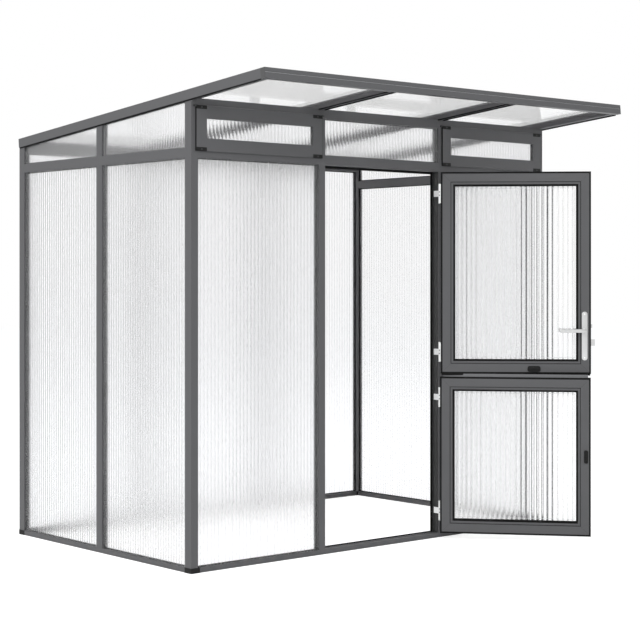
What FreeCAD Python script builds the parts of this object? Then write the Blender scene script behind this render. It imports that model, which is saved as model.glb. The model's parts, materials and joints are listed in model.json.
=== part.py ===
import FreeCAD, Part
import math
import os
import Sketcher
from FreeCAD import Placement, Rotation, Vector

# Lean-to greenhouse: aluminium posts and rails, twin-wall sheets, a two-leaf stable door
# and two top-hung vents under a canopy.
# Origin: middle of the rear base rail's underside. +X to the right seen from the door
# side, +Y towards the rear, +Z up. Lengths in millimetres, angles in degrees.

DRIVING_SIZES = (
    ("width", 2460, "outside width over the corner posts"),
    ("depth", 1560, "outside depth, front face to rear face"),
    ("door_bay", 800, "clear width between the door posts"),
    ("post_width", 40, "posts and side members, across the front"),
    ("post_depth", 50, "posts and front members, front to rear"),
    ("wall", 2.5, "wall of an extrusion"),
    ("base_height", 25, "height of the base rails"),
    ("base_lip", 9, "height of the set-back lower band of a base rail"),
    ("lip_setback", 1.5, "how far that band stands back"),
    ("corner_reach", 50, "corner block, along each rail"),
    ("corner_proud", 1.5, "corner block, proud of the rails"),
    ("spigot_length", 35, "tongue of a corner block inside its rail"),
    ("spigot_gap", 0.3, "play of that tongue"),
    ("sheet", 16, "thickness of a twin-wall sheet"),
    ("sheet_setback", 8, "frame face to sheet"),
    ("sheet_gap", 0.15, "play on each face of a sheet"),
    ("sheet_bite", 10, "how far a sheet reaches into its channel"),
    ("channel_spare", 2, "channel deeper than the sheet reaches"),
    ("rib_pitch", 21.3, "distance between the ribs of a sheet"),
    ("rib", 0.8, "thickness of a rib"),
    ("skin", 1, "thickness of a sheet's skin"),
    ("rib_margin", 4, "least solid edge of a sheet"),
    ("transom_low", 1948, "underside of the transoms"),
    ("transom_height", 47, "height of the transoms"),
    ("rail_hollow", 20, "height of the hollow in the header and the rear top rail"),
    ("header_height", 47, "height of the front header at the front face"),
    ("rear_rail_height", 38, "height of the rear top rail at the rear face"),
    ("roof_top", 2268.5, "top of the roof over the front face"),
    ("roof_pitch", 5, "fall of the roof to the rear, in degrees"),
    ("overhang", 552, "canopy in front of the front face"),
    ("side_overhang", 6, "roof past the corner posts"),
    ("rake_width", 45, "end rafter, width"),
    ("rake_height", 47, "end rafter, height"),
    ("rafter_width", 50, "inner rafter, width"),
    ("rafter_height", 41, "inner rafter, height"),
    ("cap_thickness", 4.5, "cover strip over a rafter"),
    ("fascia_thickness", 30, "front beam of the roof, along the slope"),
    ("fascia_height", 49, "front beam of the roof, height"),
    ("fascia_groove", 3, "shadow groove in the fascia, height and depth"),
    ("fascia_groove_down", 19, "top of the fascia to its groove"),
    ("eave_thickness", 25, "rear beam of the roof, along the slope"),
    ("end_cap", 2, "plate on the open end of a roof beam"),
    ("leaf_gap", 6, "play between a closed leaf and a door post"),
    ("leaf_thickness", 45, "thickness of a door leaf"),
    ("head_gap", 4.5, "upper leaf to the transom"),
    ("sill_gap", 7, "lower leaf to the base rail"),
    ("meeting_height", 877, "underside of the upper leaf"),
    ("meeting_gap", 17, "between the two leaves"),
    ("weather_bar", 16, "weather bar above the lower leaf"),
    ("weather_bar_thickness", 6, "thickness of the weather bar"),
    ("weather_bar_inset", 14, "weather bar short of the leaf at each end"),
    ("weather_bar_foot", 4, "depth of the groove that the weather bar stands in"),
    ("seal_width", 9, "seal round the inner face of a leaf"),
    ("seal_depth", 11, "depth of that seal"),
    ("leaf_face", 45, "flat face of a leaf's stile inside the seal"),
    ("bead_width", 12, "glazing bead of a leaf"),
    ("bead_setback", 3, "bead behind the flat face"),
    ("gasket_width", 9, "gasket showing inside the bead"),
    ("gasket_thickness", 3, "thickness of that gasket"),
    ("outer_lip", 4, "outer glazing lip of a leaf"),
    ("weep_radius", 4, "drain hole of a hollow frame"),
    ("upper_opening", 135, "upper leaf stands open, in degrees"),
    ("lower_opening", 130, "lower leaf stands open, in degrees"),
    ("stop_width", 12, "door stop strip"),
    ("stop_gap", 0.3, "closed leaf to its stop"),
    ("sill_seal", 6, "height of the seal strip on the sill"),
    ("hinge_proud", 6, "hinge axis in front of the front face"),
    ("hinge_inset", 1.5, "hinge axis past the face of the door post"),
    ("hinge_height", 100, "height of a hinge"),
    ("hinge_from_end", 112, "end of a leaf to its hinge's middle"),
    ("knuckle_radius", 5, "outside of a hinge knuckle"),
    ("middle_knuckle", 32, "height of the middle knuckle"),
    ("knuckle_gap", 0.5, "between two knuckles, and knuckle to post"),
    ("pin_radius", 2.5, "hinge pin"),
    ("pin_play", 0.05, "play of every turning pin, on the radius"),
    ("hinge_plate", 2.5, "thickness of a hinge plate"),
    ("hinge_reach", 32, "hinge plate along the reveal"),
    ("handle_inset", 33, "free edge of the leaf to the lever's axis"),
    ("lever_height", 1105, "height of the lever's axis"),
    ("backplate_above", 100, "lever's axis up to the backplate's top"),
    ("backplate_below", 156, "lever's axis down to the backplate's bottom"),
    ("backplate_width", 30, "width of the backplate"),
    ("backplate_thickness", 3, "thickness of the backplate"),
    ("neck_radius", 9, "neck of a lever"),
    ("neck_length", 36, "backplate to the grip of a lever"),
    ("grip_length", 135, "grip of a lever past its axis"),
    ("grip_height", 20, "grip of a lever, height"),
    ("grip_thickness", 12, "grip of a lever, thickness"),
    ("spindle", 8, "square spindle through the leaf"),
    ("lock_spacing", 92, "lever's axis down to the lock cylinder"),
    ("cylinder_radius", 8.5, "turning lock cylinder"),
    ("cylinder_proud", 1.5, "lock cylinder past the backplates"),
    ("key_slot", 2.5, "width and depth of the key slot"),
    ("part_gap", 0.3, "play between lock parts"),
    ("lock_thickness", 18, "lock case, thickness"),
    ("lock_front", 36, "lock case, front to back"),
    ("lock_below", 110, "lever's axis down to the lock case's bottom"),
    ("lock_above", 55, "lever's axis up to the lock case's top"),
    ("latch_height", 19, "latch bolt, height"),
    ("latch_thickness", 9, "latch bolt, thickness"),
    ("latch_above", 24, "lever's axis up to the latch bolt's middle"),
    ("latch_throw", 9, "latch bolt past the leaf"),
    ("deadbolt_height", 34, "deadbolt, height"),
    ("deadbolt_thickness", 11, "deadbolt, thickness"),
    ("deadbolt_below", 63, "lever's axis down to the deadbolt's middle"),
    ("deadbolt_throw", 22, "deadbolt past the leaf"),
    ("bolt_tail", 12, "thrown bolt inside the lock case"),
    ("latch_bevel", 7, "slant of the latch bolt's tip"),
    ("strike_play", 3, "strike pocket round a bolt"),
    ("button_length", 68, "turn button, length"),
    ("button_width", 21, "lower turn button, width"),
    ("upper_button_width", 30, "upper turn button, width"),
    ("button_thickness", 5, "turn button, thickness"),
    ("button_standoff", 6, "leaf to the blade of a turn button"),
    ("button_hub", 8, "hub of a turn button, radius"),
    ("button_pin", 3, "pivot of a turn button, radius"),
    ("upper_button_inset", 292, "free edge to the upper turn button"),
    ("upper_button_rise", 26, "meeting edge up to the upper turn button"),
    ("upper_button_tail", 28, "upper turn button, pivot to its short end"),
    ("lower_button_inset", 24.5, "free edge to the lower turn button"),
    ("lower_button_height", 448, "height of the lower turn button"),
    ("vent_lap", 15, "vent sash over its opening, all round"),
    ("vent_member", 61, "face width of the vent sash"),
    ("vent_flange", 8, "front flange of the sash"),
    ("vent_gap", 0.3, "sash to the front face"),
    ("vent_play", 3, "body of the sash inside its opening"),
    ("vent_depth", 18.5, "body of the sash behind the front face"),
    ("vent_cap", 18, "plastic corner of the sash, height"),
    ("vent_pin", 2, "pivot pin of the sash, radius"),
    ("vent_pin_reach", 12, "pivot pin inside the sash"),
    ("pivot_width", 11, "pivot block beside the sash"),
    ("pivot_gap", 1, "pivot block to the sash"),
    ("weep_small", 3, "drain hole of the sash, radius"),
)

doc = FreeCAD.newDocument("LeanToGreenhouse")
sheet_of_sizes = doc.addObject("Spreadsheet::Sheet", "Sizes")


class Size:
    """A value of the sheet, or one worked out from several, kept as an expression."""

    def __init__(self, text, value):
        self.text = text
        self.value = value

    def __add__(self, other):
        return worked_out(self, "+", other)

    def __radd__(self, other):
        return worked_out(other, "+", self)

    def __sub__(self, other):
        return worked_out(self, "-", other)

    def __rsub__(self, other):
        return worked_out(other, "-", self)

    def __mul__(self, other):
        return worked_out(self, "*", other)

    def __rmul__(self, other):
        return worked_out(other, "*", self)

    def __truediv__(self, other):
        return worked_out(self, "/", other)

    def __neg__(self):
        return worked_out(0, "-", self)


def as_size(given):
    """A plain number as a Size, and a Size as it is."""
    if isinstance(given, Size):
        return given
    return Size(str(given), float(given))


def worked_out(first, sign, second):
    """The sum, difference, product or quotient of two sizes."""
    first = as_size(first)
    second = as_size(second)
    if sign == "+":
        value = first.value + second.value
    elif sign == "-":
        value = first.value - second.value
    elif sign == "*":
        value = first.value * second.value
    else:
        value = first.value / second.value
    return Size(f"({first.text} {sign} {second.text})", value)


def cosine(angle):
    return Size(f"cos({angle.text})", math.cos(math.radians(angle.value)))


def sine(angle):
    return Size(f"sin({angle.text})", math.sin(math.radians(angle.value)))


def whole(size):
    """The whole number below a size."""
    return Size(f"floor({size.text})", math.floor(size.value))


def fill_sheet():
    """Write every driving size into the sheet and give it back by its name."""
    named = {}
    for row, (alias, value, meaning) in enumerate(DRIVING_SIZES, start=1):
        sheet_of_sizes.set(f"A{row}", meaning)
        sheet_of_sizes.set(f"B{row}", str(value))
        sheet_of_sizes.setAlias(f"B{row}", alias)
        named[alias] = Size(f"Sizes.{alias}", float(value))
    doc.recompute()
    return named


sizes = fill_sheet()
nodes = []


def size(alias):
    return sizes[alias]


# Bound objects

def bind(item, path, value):
    item.setExpression(path, as_size(value).text)


def place(item, corner):
    """Bind where an object's own origin stands."""
    for axis, value in zip("xyz", corner):
        bind(item, f"Placement.Base.{axis}", value)
    return item


def block(low, high):
    """A box between its lowest and its highest corner."""
    box = doc.addObject("Part::Box", "Block")
    for side, start, end in zip(("Length", "Width", "Height"), low, high):
        bind(box, side, end - as_size(start))
    return place(box, low)


def rod(axis, start, radius, length):
    """A round bar that starts at a point and runs along +X, +Y or +Z."""
    bar = doc.addObject("Part::Cylinder", "Rod")
    way = {"x": Vector(1, 0, 0), "y": Vector(0, 1, 0), "z": Vector(0, 0, 1)}[axis]
    bar.Placement = Placement(Vector(0, 0, 0), Rotation(Vector(0, 0, 1), way))
    bind(bar, "Radius", radius)
    bind(bar, "Height", length)
    return place(bar, start)


def fuse(*items):
    joined = doc.addObject("Part::MultiFuse", "Fuse")
    joined.Shapes = list(items)
    joined.Refine = True
    return joined


def cut(base, *tools):
    """A body with one or more others taken out of it, one after another."""
    result = base
    for tool in tools:
        remaining = doc.addObject("Part::Cut", "Cut")
        remaining.Base = result
        remaining.Tool = tool
        result = remaining
    return result


def shared(first, second):
    overlap = doc.addObject("Part::Common", "Common")
    overlap.Base = first
    overlap.Tool = second
    return overlap


def gather(*items):
    """Separate solids kept together in one object."""
    together = doc.addObject("Part::Compound", "Group")
    together.Links = list(items)
    return together


def ring(low, high, border, axis="y"):
    """A flat frame: a box less the box that lies a border inside its four edges."""
    inner_low = [start + border for start in low]
    inner_high = [end - border for end in high]
    through = "xyz".index(axis)
    inner_low[through] = low[through]
    inner_high[through] = high[through]
    return cut(block(low, high), block(inner_low, inner_high))


def node(item, label):
    """Name a finished sub-part and list it for writing."""
    item.Label = label
    nodes.append(item)
    return item


# Extruded sections

SECTION_PLANE = {"x": "YZ_Plane", "y": "XZ_Plane", "z": "XY_Plane"}


def plane_of(body, role):
    for feature in body.Origin.OriginFeatures:
        if feature.Role == role:
            return feature
    raise RuntimeError(f"{body.Name} has no {role}")


def section_sketch(body, along):
    sketch = body.newObject("Sketcher::SketchObject", "Section")
    sketch.AttachmentSupport = (plane_of(body, SECTION_PLANE[along]), [""])
    sketch.MapMode = "FlatFace"
    return sketch


def outline(sketch, corners):
    """A closed outline whose corners are bound to the sketch's origin."""
    first = sketch.GeometryCount
    count = len(corners)
    points = [Vector(as_size(a).value, as_size(b).value, 0) for a, b in corners]
    for index in range(count):
        edge = Part.LineSegment(points[index], points[(index + 1) % count])
        sketch.addGeometry(edge, False)
    for index in range(count):
        following = first + (index + 1) % count
        sketch.addConstraint(Sketcher.Constraint("Coincident", first + index, 2, following, 1))
    for index, corner in enumerate(corners):
        for kind, value in zip(("DistanceX", "DistanceY"), corner):
            value = as_size(value)
            held = Sketcher.Constraint(kind, -1, 1, first + index, 1, value.value)
            number = sketch.addConstraint(held)
            sketch.setExpression(f"Constraints[{number}]", value.text)


def rectangle(low, high):
    return ((low[0], low[1]), (high[0], low[1]), (high[0], high[1]), (low[0], high[1]))


def extrusion(along, low, length, *outlines):
    """A section padded along an axis: the outer outline first, then its hollows."""
    body = doc.addObject("PartDesign::Body", "Extrusion")
    sketch = section_sketch(body, along)
    for corners in outlines:
        outline(sketch, corners)
    pad = body.newObject("PartDesign::Pad", "Pad")
    pad.Profile = sketch
    pad.Reversed = along == "y"
    bind(pad, "Length", length)
    body.Tip = pad
    place(body, low)
    return body


def across(along, corner):
    """The two coordinates of a section that is padded along an axis."""
    return [value for axis, value in zip("xyz", corner) if axis != along]


def tube(along, low, high, hollow_low, hollow_high):
    """A hollow member between two corners; the hollow's corners count from the low one."""
    spans = [end - as_size(start) for start, end in zip(low, high)]
    outer = rectangle((0, 0), across(along, spans))
    hollow = rectangle(hollow_low, hollow_high)
    return extrusion(along, low, spans["xyz".index(along)], outer, hollow)


def twin_wall(along, ribs, low, high):
    """A twin-wall sheet: its channels run along one axis and repeat along another."""
    spans = [end - as_size(start) for start, end in zip(low, high)]
    section = across(along, spans)
    names = across(along, ("x", "y", "z"))
    row = names.index(ribs)
    channel = size("rib_pitch") - size("rib")
    count = whole((section[row] - 2 * size("rib_margin")) / size("rib_pitch"))
    start = (section[row] - count * size("rib_pitch") + size("rib")) / 2
    first = [size("skin"), size("skin")]
    last = [section[0] - size("skin"), section[1] - size("skin")]
    first[row] = start
    last[row] = start + channel
    body = extrusion(along, low, spans["xyz".index(along)], rectangle((0, 0), section))
    sketch = section_sketch(body, along)
    outline(sketch, rectangle(first, last))
    pocket = body.newObject("PartDesign::Pocket", "Channel")
    pocket.Profile = sketch
    pocket.Type = "ThroughAll"
    pocket.Reversed = along != "y"
    pattern = body.newObject("PartDesign::LinearPattern", "Channels")
    pattern.Originals = [pocket]
    pattern.Direction = (sketch, ["H_Axis" if row == 0 else "V_Axis"])
    bind(pattern, "Occurrences", count)
    bind(pattern, "Length", size("rib_pitch") * (count - 1))
    body.Tip = pattern
    return body


# Lines that the whole frame is set out from

left = -size("width") / 2
right = size("width") / 2
rear = size("post_depth") / 2
front = rear - size("depth")
inner_left = left + size("post_width")
inner_right = right - size("post_width")
bay_left = -size("door_bay") / 2
bay_right = size("door_bay") / 2
vent_low = size("transom_low") + size("transom_height")
channel_depth = size("sheet_bite") + size("channel_spare")
behind_sheet = size("sheet_setback") + size("sheet") + 2 * size("sheet_gap") + size("wall")
side_mullion_front = front + size("depth") / 2 - size("post_depth") / 2
side_mullion_rear = side_mullion_front + size("post_depth")
front_inner = front + size("post_depth")
rear_inner = rear - size("post_depth")
roof_fall = size("depth") * sine(size("roof_pitch")) / cosine(size("roof_pitch"))
rafters_under = size("roof_top") - size("rafter_height") / cosine(size("roof_pitch"))
header_low = rafters_under - size("header_height")
rear_rail_low = rafters_under - roof_fall - size("rear_rail_height")


# Roof setting out: x as in the frame, "along" down the slope from the front face and
# "above" square to the slope from the roof's top

def on_roof(x, along, above):
    pitch = size("roof_pitch")
    y = front + along * cosine(pitch) + above * sine(pitch)
    z = size("roof_top") - along * sine(pitch) + above * cosine(pitch)
    return (x, y, z)


def lay_on_roof(item, corner):
    """Tilt an object to the roof and stand its own origin at a point of the roof."""
    item.Placement = Placement(Vector(0, 0, 0), Rotation(Vector(-1, 0, 0), size("roof_pitch").value))
    bind(item, "Placement.Rotation.Angle", size("roof_pitch"))
    return place(item, on_roof(*corner))


def roof_block(low, high):
    return lay_on_roof(block(low, high), low)


def roof_tube(along, low, high, hollow_low, hollow_high):
    return lay_on_roof(tube(along, low, high, hollow_low, hollow_high), low)


roof_front = -size("overhang") / cosine(size("roof_pitch"))
roof_rear = size("depth") / cosine(size("roof_pitch"))
roof_left = left - size("side_overhang")
roof_right = right + size("side_overhang")
rafter_front = roof_front + size("fascia_thickness")
eave_front = roof_rear - size("eave_thickness")
rake_rear = roof_rear - size("end_cap")
sheet_top = -(size("cap_thickness") + size("sheet_gap"))
sheet_under = sheet_top - size("sheet")
rafter_lefts = (
    bay_left - size("post_width") / 2 - size("rafter_width") / 2,
    bay_right + size("post_width") / 2 - size("rafter_width") / 2,
)


def above_roof(below_top):
    """All the space over a plane that lies a given distance under the roof's top."""
    low = (roof_left, roof_front, -below_top)
    high = (roof_right, roof_rear + size("post_depth"), -below_top + size("roof_top"))
    return roof_block(low, high)


over_rakes = above_roof(size("rake_height"))
over_rafters = above_roof(size("rafter_height"))


# Sheets and the channels that hold them. Every frame member is cut by the seats of the
# sheets that it carries, so a channel always fits its sheet.

def grown(low, high, thickness_axis):
    """The seat round a sheet: a little play on its faces and spare room at its edges."""
    seat_low = []
    seat_high = []
    for axis, start, end in zip("xyz", low, high):
        play = size("sheet_gap") if axis == thickness_axis else size("channel_spare")
        seat_low.append(start - play)
        seat_high.append(end + play)
    return seat_low, seat_high


def upright_sheet(face, low, high, top_plane=None, seat_plane=None):
    """A wall sheet, and its seat; a plane given cuts the top of both to the roof."""
    ribs = "y" if face == "x" else "x"
    pane = twin_wall("z", ribs, low, high)
    seat = block(*grown(low, high, face))
    if top_plane is not None:
        pane = cut(pane, top_plane)
        seat = cut(seat, seat_plane)
    return pane, seat


def wall_sheet(x_span, y_span, z_span, face):
    """A sheet that bites into the members at both ends of its two long directions."""
    bite = size("sheet_bite")
    spans = {"x": x_span, "y": y_span, "z": z_span}
    low = []
    high = []
    for axis in "xyz":
        reach = 0 if axis == face else bite
        low.append(spans[axis][0] - reach)
        high.append(spans[axis][1] + reach)
    return low, high


def front_span():
    start = front + size("sheet_setback") + size("sheet_gap")
    return (start, start + size("sheet"))


def rear_span():
    end = rear - size("sheet_setback") - size("sheet_gap")
    return (end - size("sheet"), end)


def side_span(side):
    start = left + size("sheet_setback") + size("sheet_gap")
    if side == "left":
        return (start, start + size("sheet"))
    return (-start - size("sheet"), -start)


def front_glazing():
    """Panels beside the door and the fixed light over it; gives back their channels."""
    seats = []
    lower = (size("base_height"), size("transom_low"))
    for label, x_span in (
        ("front_panel_left", (inner_left, bay_left - size("post_width"))),
        ("front_panel_right", (bay_right + size("post_width"), inner_right)),
    ):
        pane, seat = upright_sheet("y", *wall_sheet(x_span, front_span(), lower, "y"))
        node(pane, label)
        seats.append(seat)
    upper = (vent_low, header_low)
    box = wall_sheet((bay_left, bay_right), front_span(), upper, "y")
    pane, seat = upright_sheet("y", *box)
    node(pane, "fixed_light")
    seats.append(seat)
    return gather(*seats)


def side_bays():
    return ((front_inner, side_mullion_front), (side_mullion_rear, rear_inner))


def side_glazing():
    """Two tall panels and two sloping lights in each end wall; gives back the channels."""
    channels = {}
    lights = []
    lower = (size("base_height"), size("transom_low"))
    pane_plane = above_roof(size("rake_height") - size("sheet_bite"))
    seat_plane = above_roof(size("rake_height") - channel_depth)
    for side in ("left", "right"):
        panels = []
        seats = []
        for bay in side_bays():
            box = wall_sheet(side_span(side), bay, lower, "x")
            pane, seat = upright_sheet("x", *box)
            panels.append(pane)
            seats.append(seat)
            low, high = wall_sheet(side_span(side), bay, (vent_low, size("roof_top")), "x")
            light, seat = upright_sheet("x", low, high, pane_plane, seat_plane)
            lights.append(light)
            seats.append(seat)
        node(gather(*panels), f"side_panels_{side}")
        channels[side] = gather(*seats)
    node(gather(*lights), "side_lights")
    return channels


def rear_bays():
    return (
        (inner_left, bay_left - size("post_width")),
        (bay_left, bay_right),
        (bay_right + size("post_width"), inner_right),
    )


def rear_glazing():
    seats = []
    panes = []
    span = (size("base_height"), rear_rail_low)
    for bay in rear_bays():
        pane, seat = upright_sheet("y", *wall_sheet(bay, rear_span(), span, "y"))
        panes.append(pane)
        seats.append(seat)
    node(gather(*panes), "rear_panels")
    return gather(*seats)


def roof_bays():
    """Clear width between the faces of the rafters, from left to right."""
    return (
        (roof_left + size("rake_width"), rafter_lefts[0]),
        (rafter_lefts[0] + size("rafter_width"), rafter_lefts[1]),
        (rafter_lefts[1] + size("rafter_width"), roof_right - size("rake_width")),
    )


def roof_glazing():
    """Three roof sheets from the fascia to the eave, clamped on the rafters."""
    seats = []
    panes = []
    bite = size("sheet_bite")
    for start, end in roof_bays():
        low = (start - bite, rafter_front - bite, sheet_under)
        high = (end + bite, eave_front + bite, sheet_top)
        panes.append(lay_on_roof(twin_wall("y", "x", low, high), low))
        seat_low, seat_high = grown(low, high, "z")
        seats.append(roof_block(seat_low, seat_high))
    node(gather(*panes), "roof_panels")
    return gather(*seats)


# Base

def base_rail(along, low, high, outer_side, channels):
    """A hollow rail whose outer face steps back over its lower band."""
    wall = size("wall")
    spans = [end - as_size(start) for start, end in zip(low, high)]
    depth, height = across(along, spans)
    step = size("lip_setback")
    lip = size("base_lip")
    if outer_side == "low":
        outer = (
            (step, 0), (depth, 0), (depth, height), (0, height), (0, lip), (step, lip),
        )
    else:
        outer = (
            (0, 0), (depth - step, 0), (depth - step, lip), (depth, lip),
            (depth, height), (0, height),
        )
    hollow = rectangle((step + wall, wall), (depth - step - wall, height - channel_depth - wall))
    body = extrusion(along, low, spans["xyz".index(along)], outer, hollow)
    return cut(body, channels)


def corner_block(x_outer, y_outer, to_right, to_rear, *channels):
    """A moulded corner with a tongue into each of the two rails that meet in it."""
    proud = size("corner_proud")
    reach = size("corner_reach")
    tongue = size("spigot_length")
    wall = size("wall")
    gap = size("spigot_gap")
    step = size("lip_setback")
    tongue_low = wall + gap
    tongue_high = size("base_height") - channel_depth - wall - gap

    def span(outer, inward, start, end):
        """From one distance inside the outer face to another, low value first."""
        ends = (outer + start, outer + end) if inward else (outer - end, outer - start)
        return ends

    body_x = span(x_outer, to_right, -proud, reach)
    body_y = span(y_outer, to_rear, -proud, reach)
    body = block((body_x[0], body_y[0], 0), (body_x[1], body_y[1], size("base_height")))
    side = step + wall + gap
    along_x = span(x_outer, to_right, reach - wall, reach + tongue)
    across_y = span(y_outer, to_rear, side, size("post_depth") - side)
    along_y = span(y_outer, to_rear, reach - wall, reach + tongue)
    across_x = span(x_outer, to_right, side, size("post_width") - side)
    tongue_x = block((along_x[0], across_y[0], tongue_low), (along_x[1], across_y[1], tongue_high))
    tongue_y = block((across_x[0], along_y[0], tongue_low), (across_x[1], along_y[1], tongue_high))
    return cut(fuse(body, tongue_x, tongue_y), *channels)


def base(front_channels, side_channels, rear_channels):
    reach = size("corner_reach")
    depth = size("post_depth")
    width = size("post_width")
    top = size("base_height")
    rails = (
        ("base_rail_front", "x", (left + reach, front, 0), (right - reach, front + depth, top),
         "low", front_channels),
        ("base_rail_rear", "x", (left + reach, rear - depth, 0), (right - reach, rear, top),
         "high", rear_channels),
        ("base_rail_left", "y", (left, front + reach, 0), (left + width, rear - reach, top),
         "low", side_channels["left"]),
        ("base_rail_right", "y", (right - width, front + reach, 0), (right, rear - reach, top),
         "high", side_channels["right"]),
    )
    for label, along, low, high, outer_side, channels in rails:
        node(base_rail(along, low, high, outer_side, channels), label)
    blocks = []
    for x_outer, side in ((left, "left"), (right, "right")):
        for y_outer, end_channels in ((front, front_channels), (rear, rear_channels)):
            blocks.append(corner_block(
                x_outer, y_outer, side == "left", y_outer is front,
                end_channels, side_channels[side],
            ))
    node(gather(*blocks), "base_corner_blocks")


# Posts and mullions

def corner_post(side, end, end_channels, side_channels):
    """A corner post: its hollow lies clear of the two sheet channels."""
    width = size("post_width")
    depth = size("post_depth")
    wall = size("wall")
    x = left if side == "left" else right - width
    y = front if end == "front" else rear - depth
    room = channel_depth + wall
    across_x = (wall, width - room) if side == "left" else (room, width - wall)
    across_y = (wall, depth - room) if end == "front" else (room, depth - wall)
    body = tube(
        "z",
        (x, y, size("base_height")),
        (x + width, y + depth, size("roof_top")),
        (across_x[0], across_y[0]),
        (across_x[1], across_y[1]),
    )
    return cut(body, over_rakes, end_channels, side_channels)


def side_mullions(channels):
    """One mullion in the middle of each end wall."""
    wall = size("wall")
    width = size("post_width")
    members = []
    for side, x, hollow in (
        ("left", left, (behind_sheet, width - wall)),
        ("right", right - width, (wall, width - behind_sheet)),
    ):
        body = tube(
            "z",
            (x, side_mullion_front, size("base_height")),
            (x + width, side_mullion_rear, size("roof_top")),
            (hollow[0], wall),
            (hollow[1], size("post_depth") - wall),
        )
        members.append(cut(body, over_rakes, channels[side]))
    return gather(*members)


def rear_mullions(channels):
    """Two mullions of the rear wall, under the inner rafters."""
    wall = size("wall")
    members = []
    for x in (bay_left - size("post_width"), bay_right):
        body = tube(
            "z",
            (x, rear_inner, size("base_height")),
            (x + size("post_width"), rear, rear_rail_low),
            (wall, wall),
            (size("post_width") - wall, size("post_depth") - behind_sheet),
        )
        members.append(cut(body, channels))
    return gather(*members)


def door_post(side, channels, *pockets):
    wall = size("wall")
    x = bay_left - size("post_width") if side == "left" else bay_right
    body = tube(
        "z",
        (x, front, size("base_height")),
        (x + size("post_width"), front_inner, header_low),
        (wall, behind_sheet),
        (size("post_width") - wall, size("post_depth") - wall),
    )
    return cut(body, channels, *pockets)


# Transoms, header and rear top rail

def front_transom(x_start, x_end, channels):
    """A transom of the front wall, hollow behind the sheet channel."""
    wall = size("wall")
    body = tube(
        "x",
        (x_start, front, size("transom_low")),
        (x_end, front_inner, vent_low),
        (behind_sheet, wall),
        (size("post_depth") - wall, size("transom_height") - wall),
    )
    return cut(body, channels)


def front_transoms(channels):
    width = size("post_width")
    return gather(
        front_transom(inner_left, bay_left - width, channels),
        front_transom(bay_left, bay_right, channels),
        front_transom(bay_right + width, inner_right, channels),
    )


def side_transoms(channels):
    wall = size("wall")
    width = size("post_width")
    members = []
    for side, x, hollow in (
        ("left", left, (behind_sheet, width - wall)),
        ("right", right - width, (wall, width - behind_sheet)),
    ):
        for start, end in side_bays():
            body = tube(
                "y",
                (x, start, size("transom_low")),
                (x + width, end, vent_low),
                (hollow[0], wall),
                (hollow[1], size("transom_height") - wall),
            )
            members.append(cut(body, channels[side]))
    return gather(*members)


def front_header(channels):
    """The header is cut to the underside of the inner rafters that rest on it."""
    high = size("roof_top")
    low = header_low
    wall = size("wall")
    room = size("post_depth") - wall
    body = tube(
        "x",
        (inner_left, front, low),
        (inner_right, front_inner, high),
        (behind_sheet, channel_depth + wall),
        (room, channel_depth + wall + size("rail_hollow")),
    )
    return cut(body, over_rafters, channels)


def rear_top_rail(channels):
    wall = size("wall")
    body = tube(
        "x",
        (inner_left, rear_inner, rear_rail_low),
        (inner_right, rear, size("roof_top")),
        (wall, wall),
        (size("post_depth") - behind_sheet, channel_depth + size("rail_hollow")),
    )
    return cut(body, over_rafters, channels)


# Roof

def rake(side, side_channels, roof_channels):
    """An end rafter: its hollow lies over the side light and beside the roof sheet."""
    width = size("rake_width")
    height = size("rake_height")
    wall = size("wall")
    x = roof_left if side == "left" else roof_right - width
    room = channel_depth + wall
    hollow_x = (wall, width - room) if side == "left" else (room, width - wall)
    low = (x, rafter_front, -height)
    high = (x + width, rake_rear, -size("cap_thickness"))
    body = roof_tube(
        "y", low, high,
        (hollow_x[0], channel_depth + wall),
        (hollow_x[1], height - size("cap_thickness") - wall),
    )
    return cut(body, side_channels, roof_channels)


def rafters(channels):
    """Two inner rafters over the door posts."""
    wall = size("wall")
    height = size("rafter_height")
    members = []
    for x in rafter_lefts:
        low = (x, rafter_front, -height)
        high = (x + size("rafter_width"), eave_front, -size("cap_thickness"))
        under = height + sheet_under - size("sheet_gap") - wall
        body = roof_tube(
            "y", low, high,
            (wall, wall),
            (size("rafter_width") - wall, under),
        )
        members.append(cut(body, channels))
    return gather(*members)


def cap_strips():
    """Cover strips that hold the roof sheets down on the rafters."""
    thickness = size("cap_thickness")
    strips = []
    for x, width, end in (
        (roof_left, size("rake_width"), rake_rear),
        (rafter_lefts[0], size("rafter_width"), eave_front),
        (rafter_lefts[1], size("rafter_width"), eave_front),
        (roof_right - size("rake_width"), size("rake_width"), rake_rear),
    ):
        strips.append(roof_block((x, rafter_front, -thickness), (x + width, end, 0)))
    return gather(*strips)


def fascia(channels):
    """The canopy's front beam, with a shadow groove in its face."""
    wall = size("wall")
    height = size("fascia_height")
    plate = size("end_cap")
    low = (roof_left + plate, roof_front, -height)
    high = (roof_right - plate, rafter_front, 0)
    hollow_high = height + sheet_under - size("sheet_gap") - wall
    body = roof_tube(
        "x", low, high,
        (size("fascia_groove") + wall, wall),
        (size("fascia_thickness") - wall, hollow_high),
    )
    groove_top = -size("fascia_groove_down")
    groove = roof_block(
        (roof_left, roof_front, groove_top - size("fascia_groove")),
        (roof_right, roof_front + size("fascia_groove"), groove_top),
    )
    return cut(body, groove, channels)


def eave_rail(channels):
    """The rear beam that closes the roof sheets between the two end rafters."""
    wall = size("wall")
    height = size("rafter_height")
    inset = size("rake_width")
    low = (roof_left + inset, eave_front, -height)
    high = (roof_right - inset, roof_rear, 0)
    body = roof_tube(
        "x", low, high,
        (wall, wall),
        (size("eave_thickness") - wall, height + sheet_under - size("sheet_gap") - wall),
    )
    return cut(body, channels)


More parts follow.
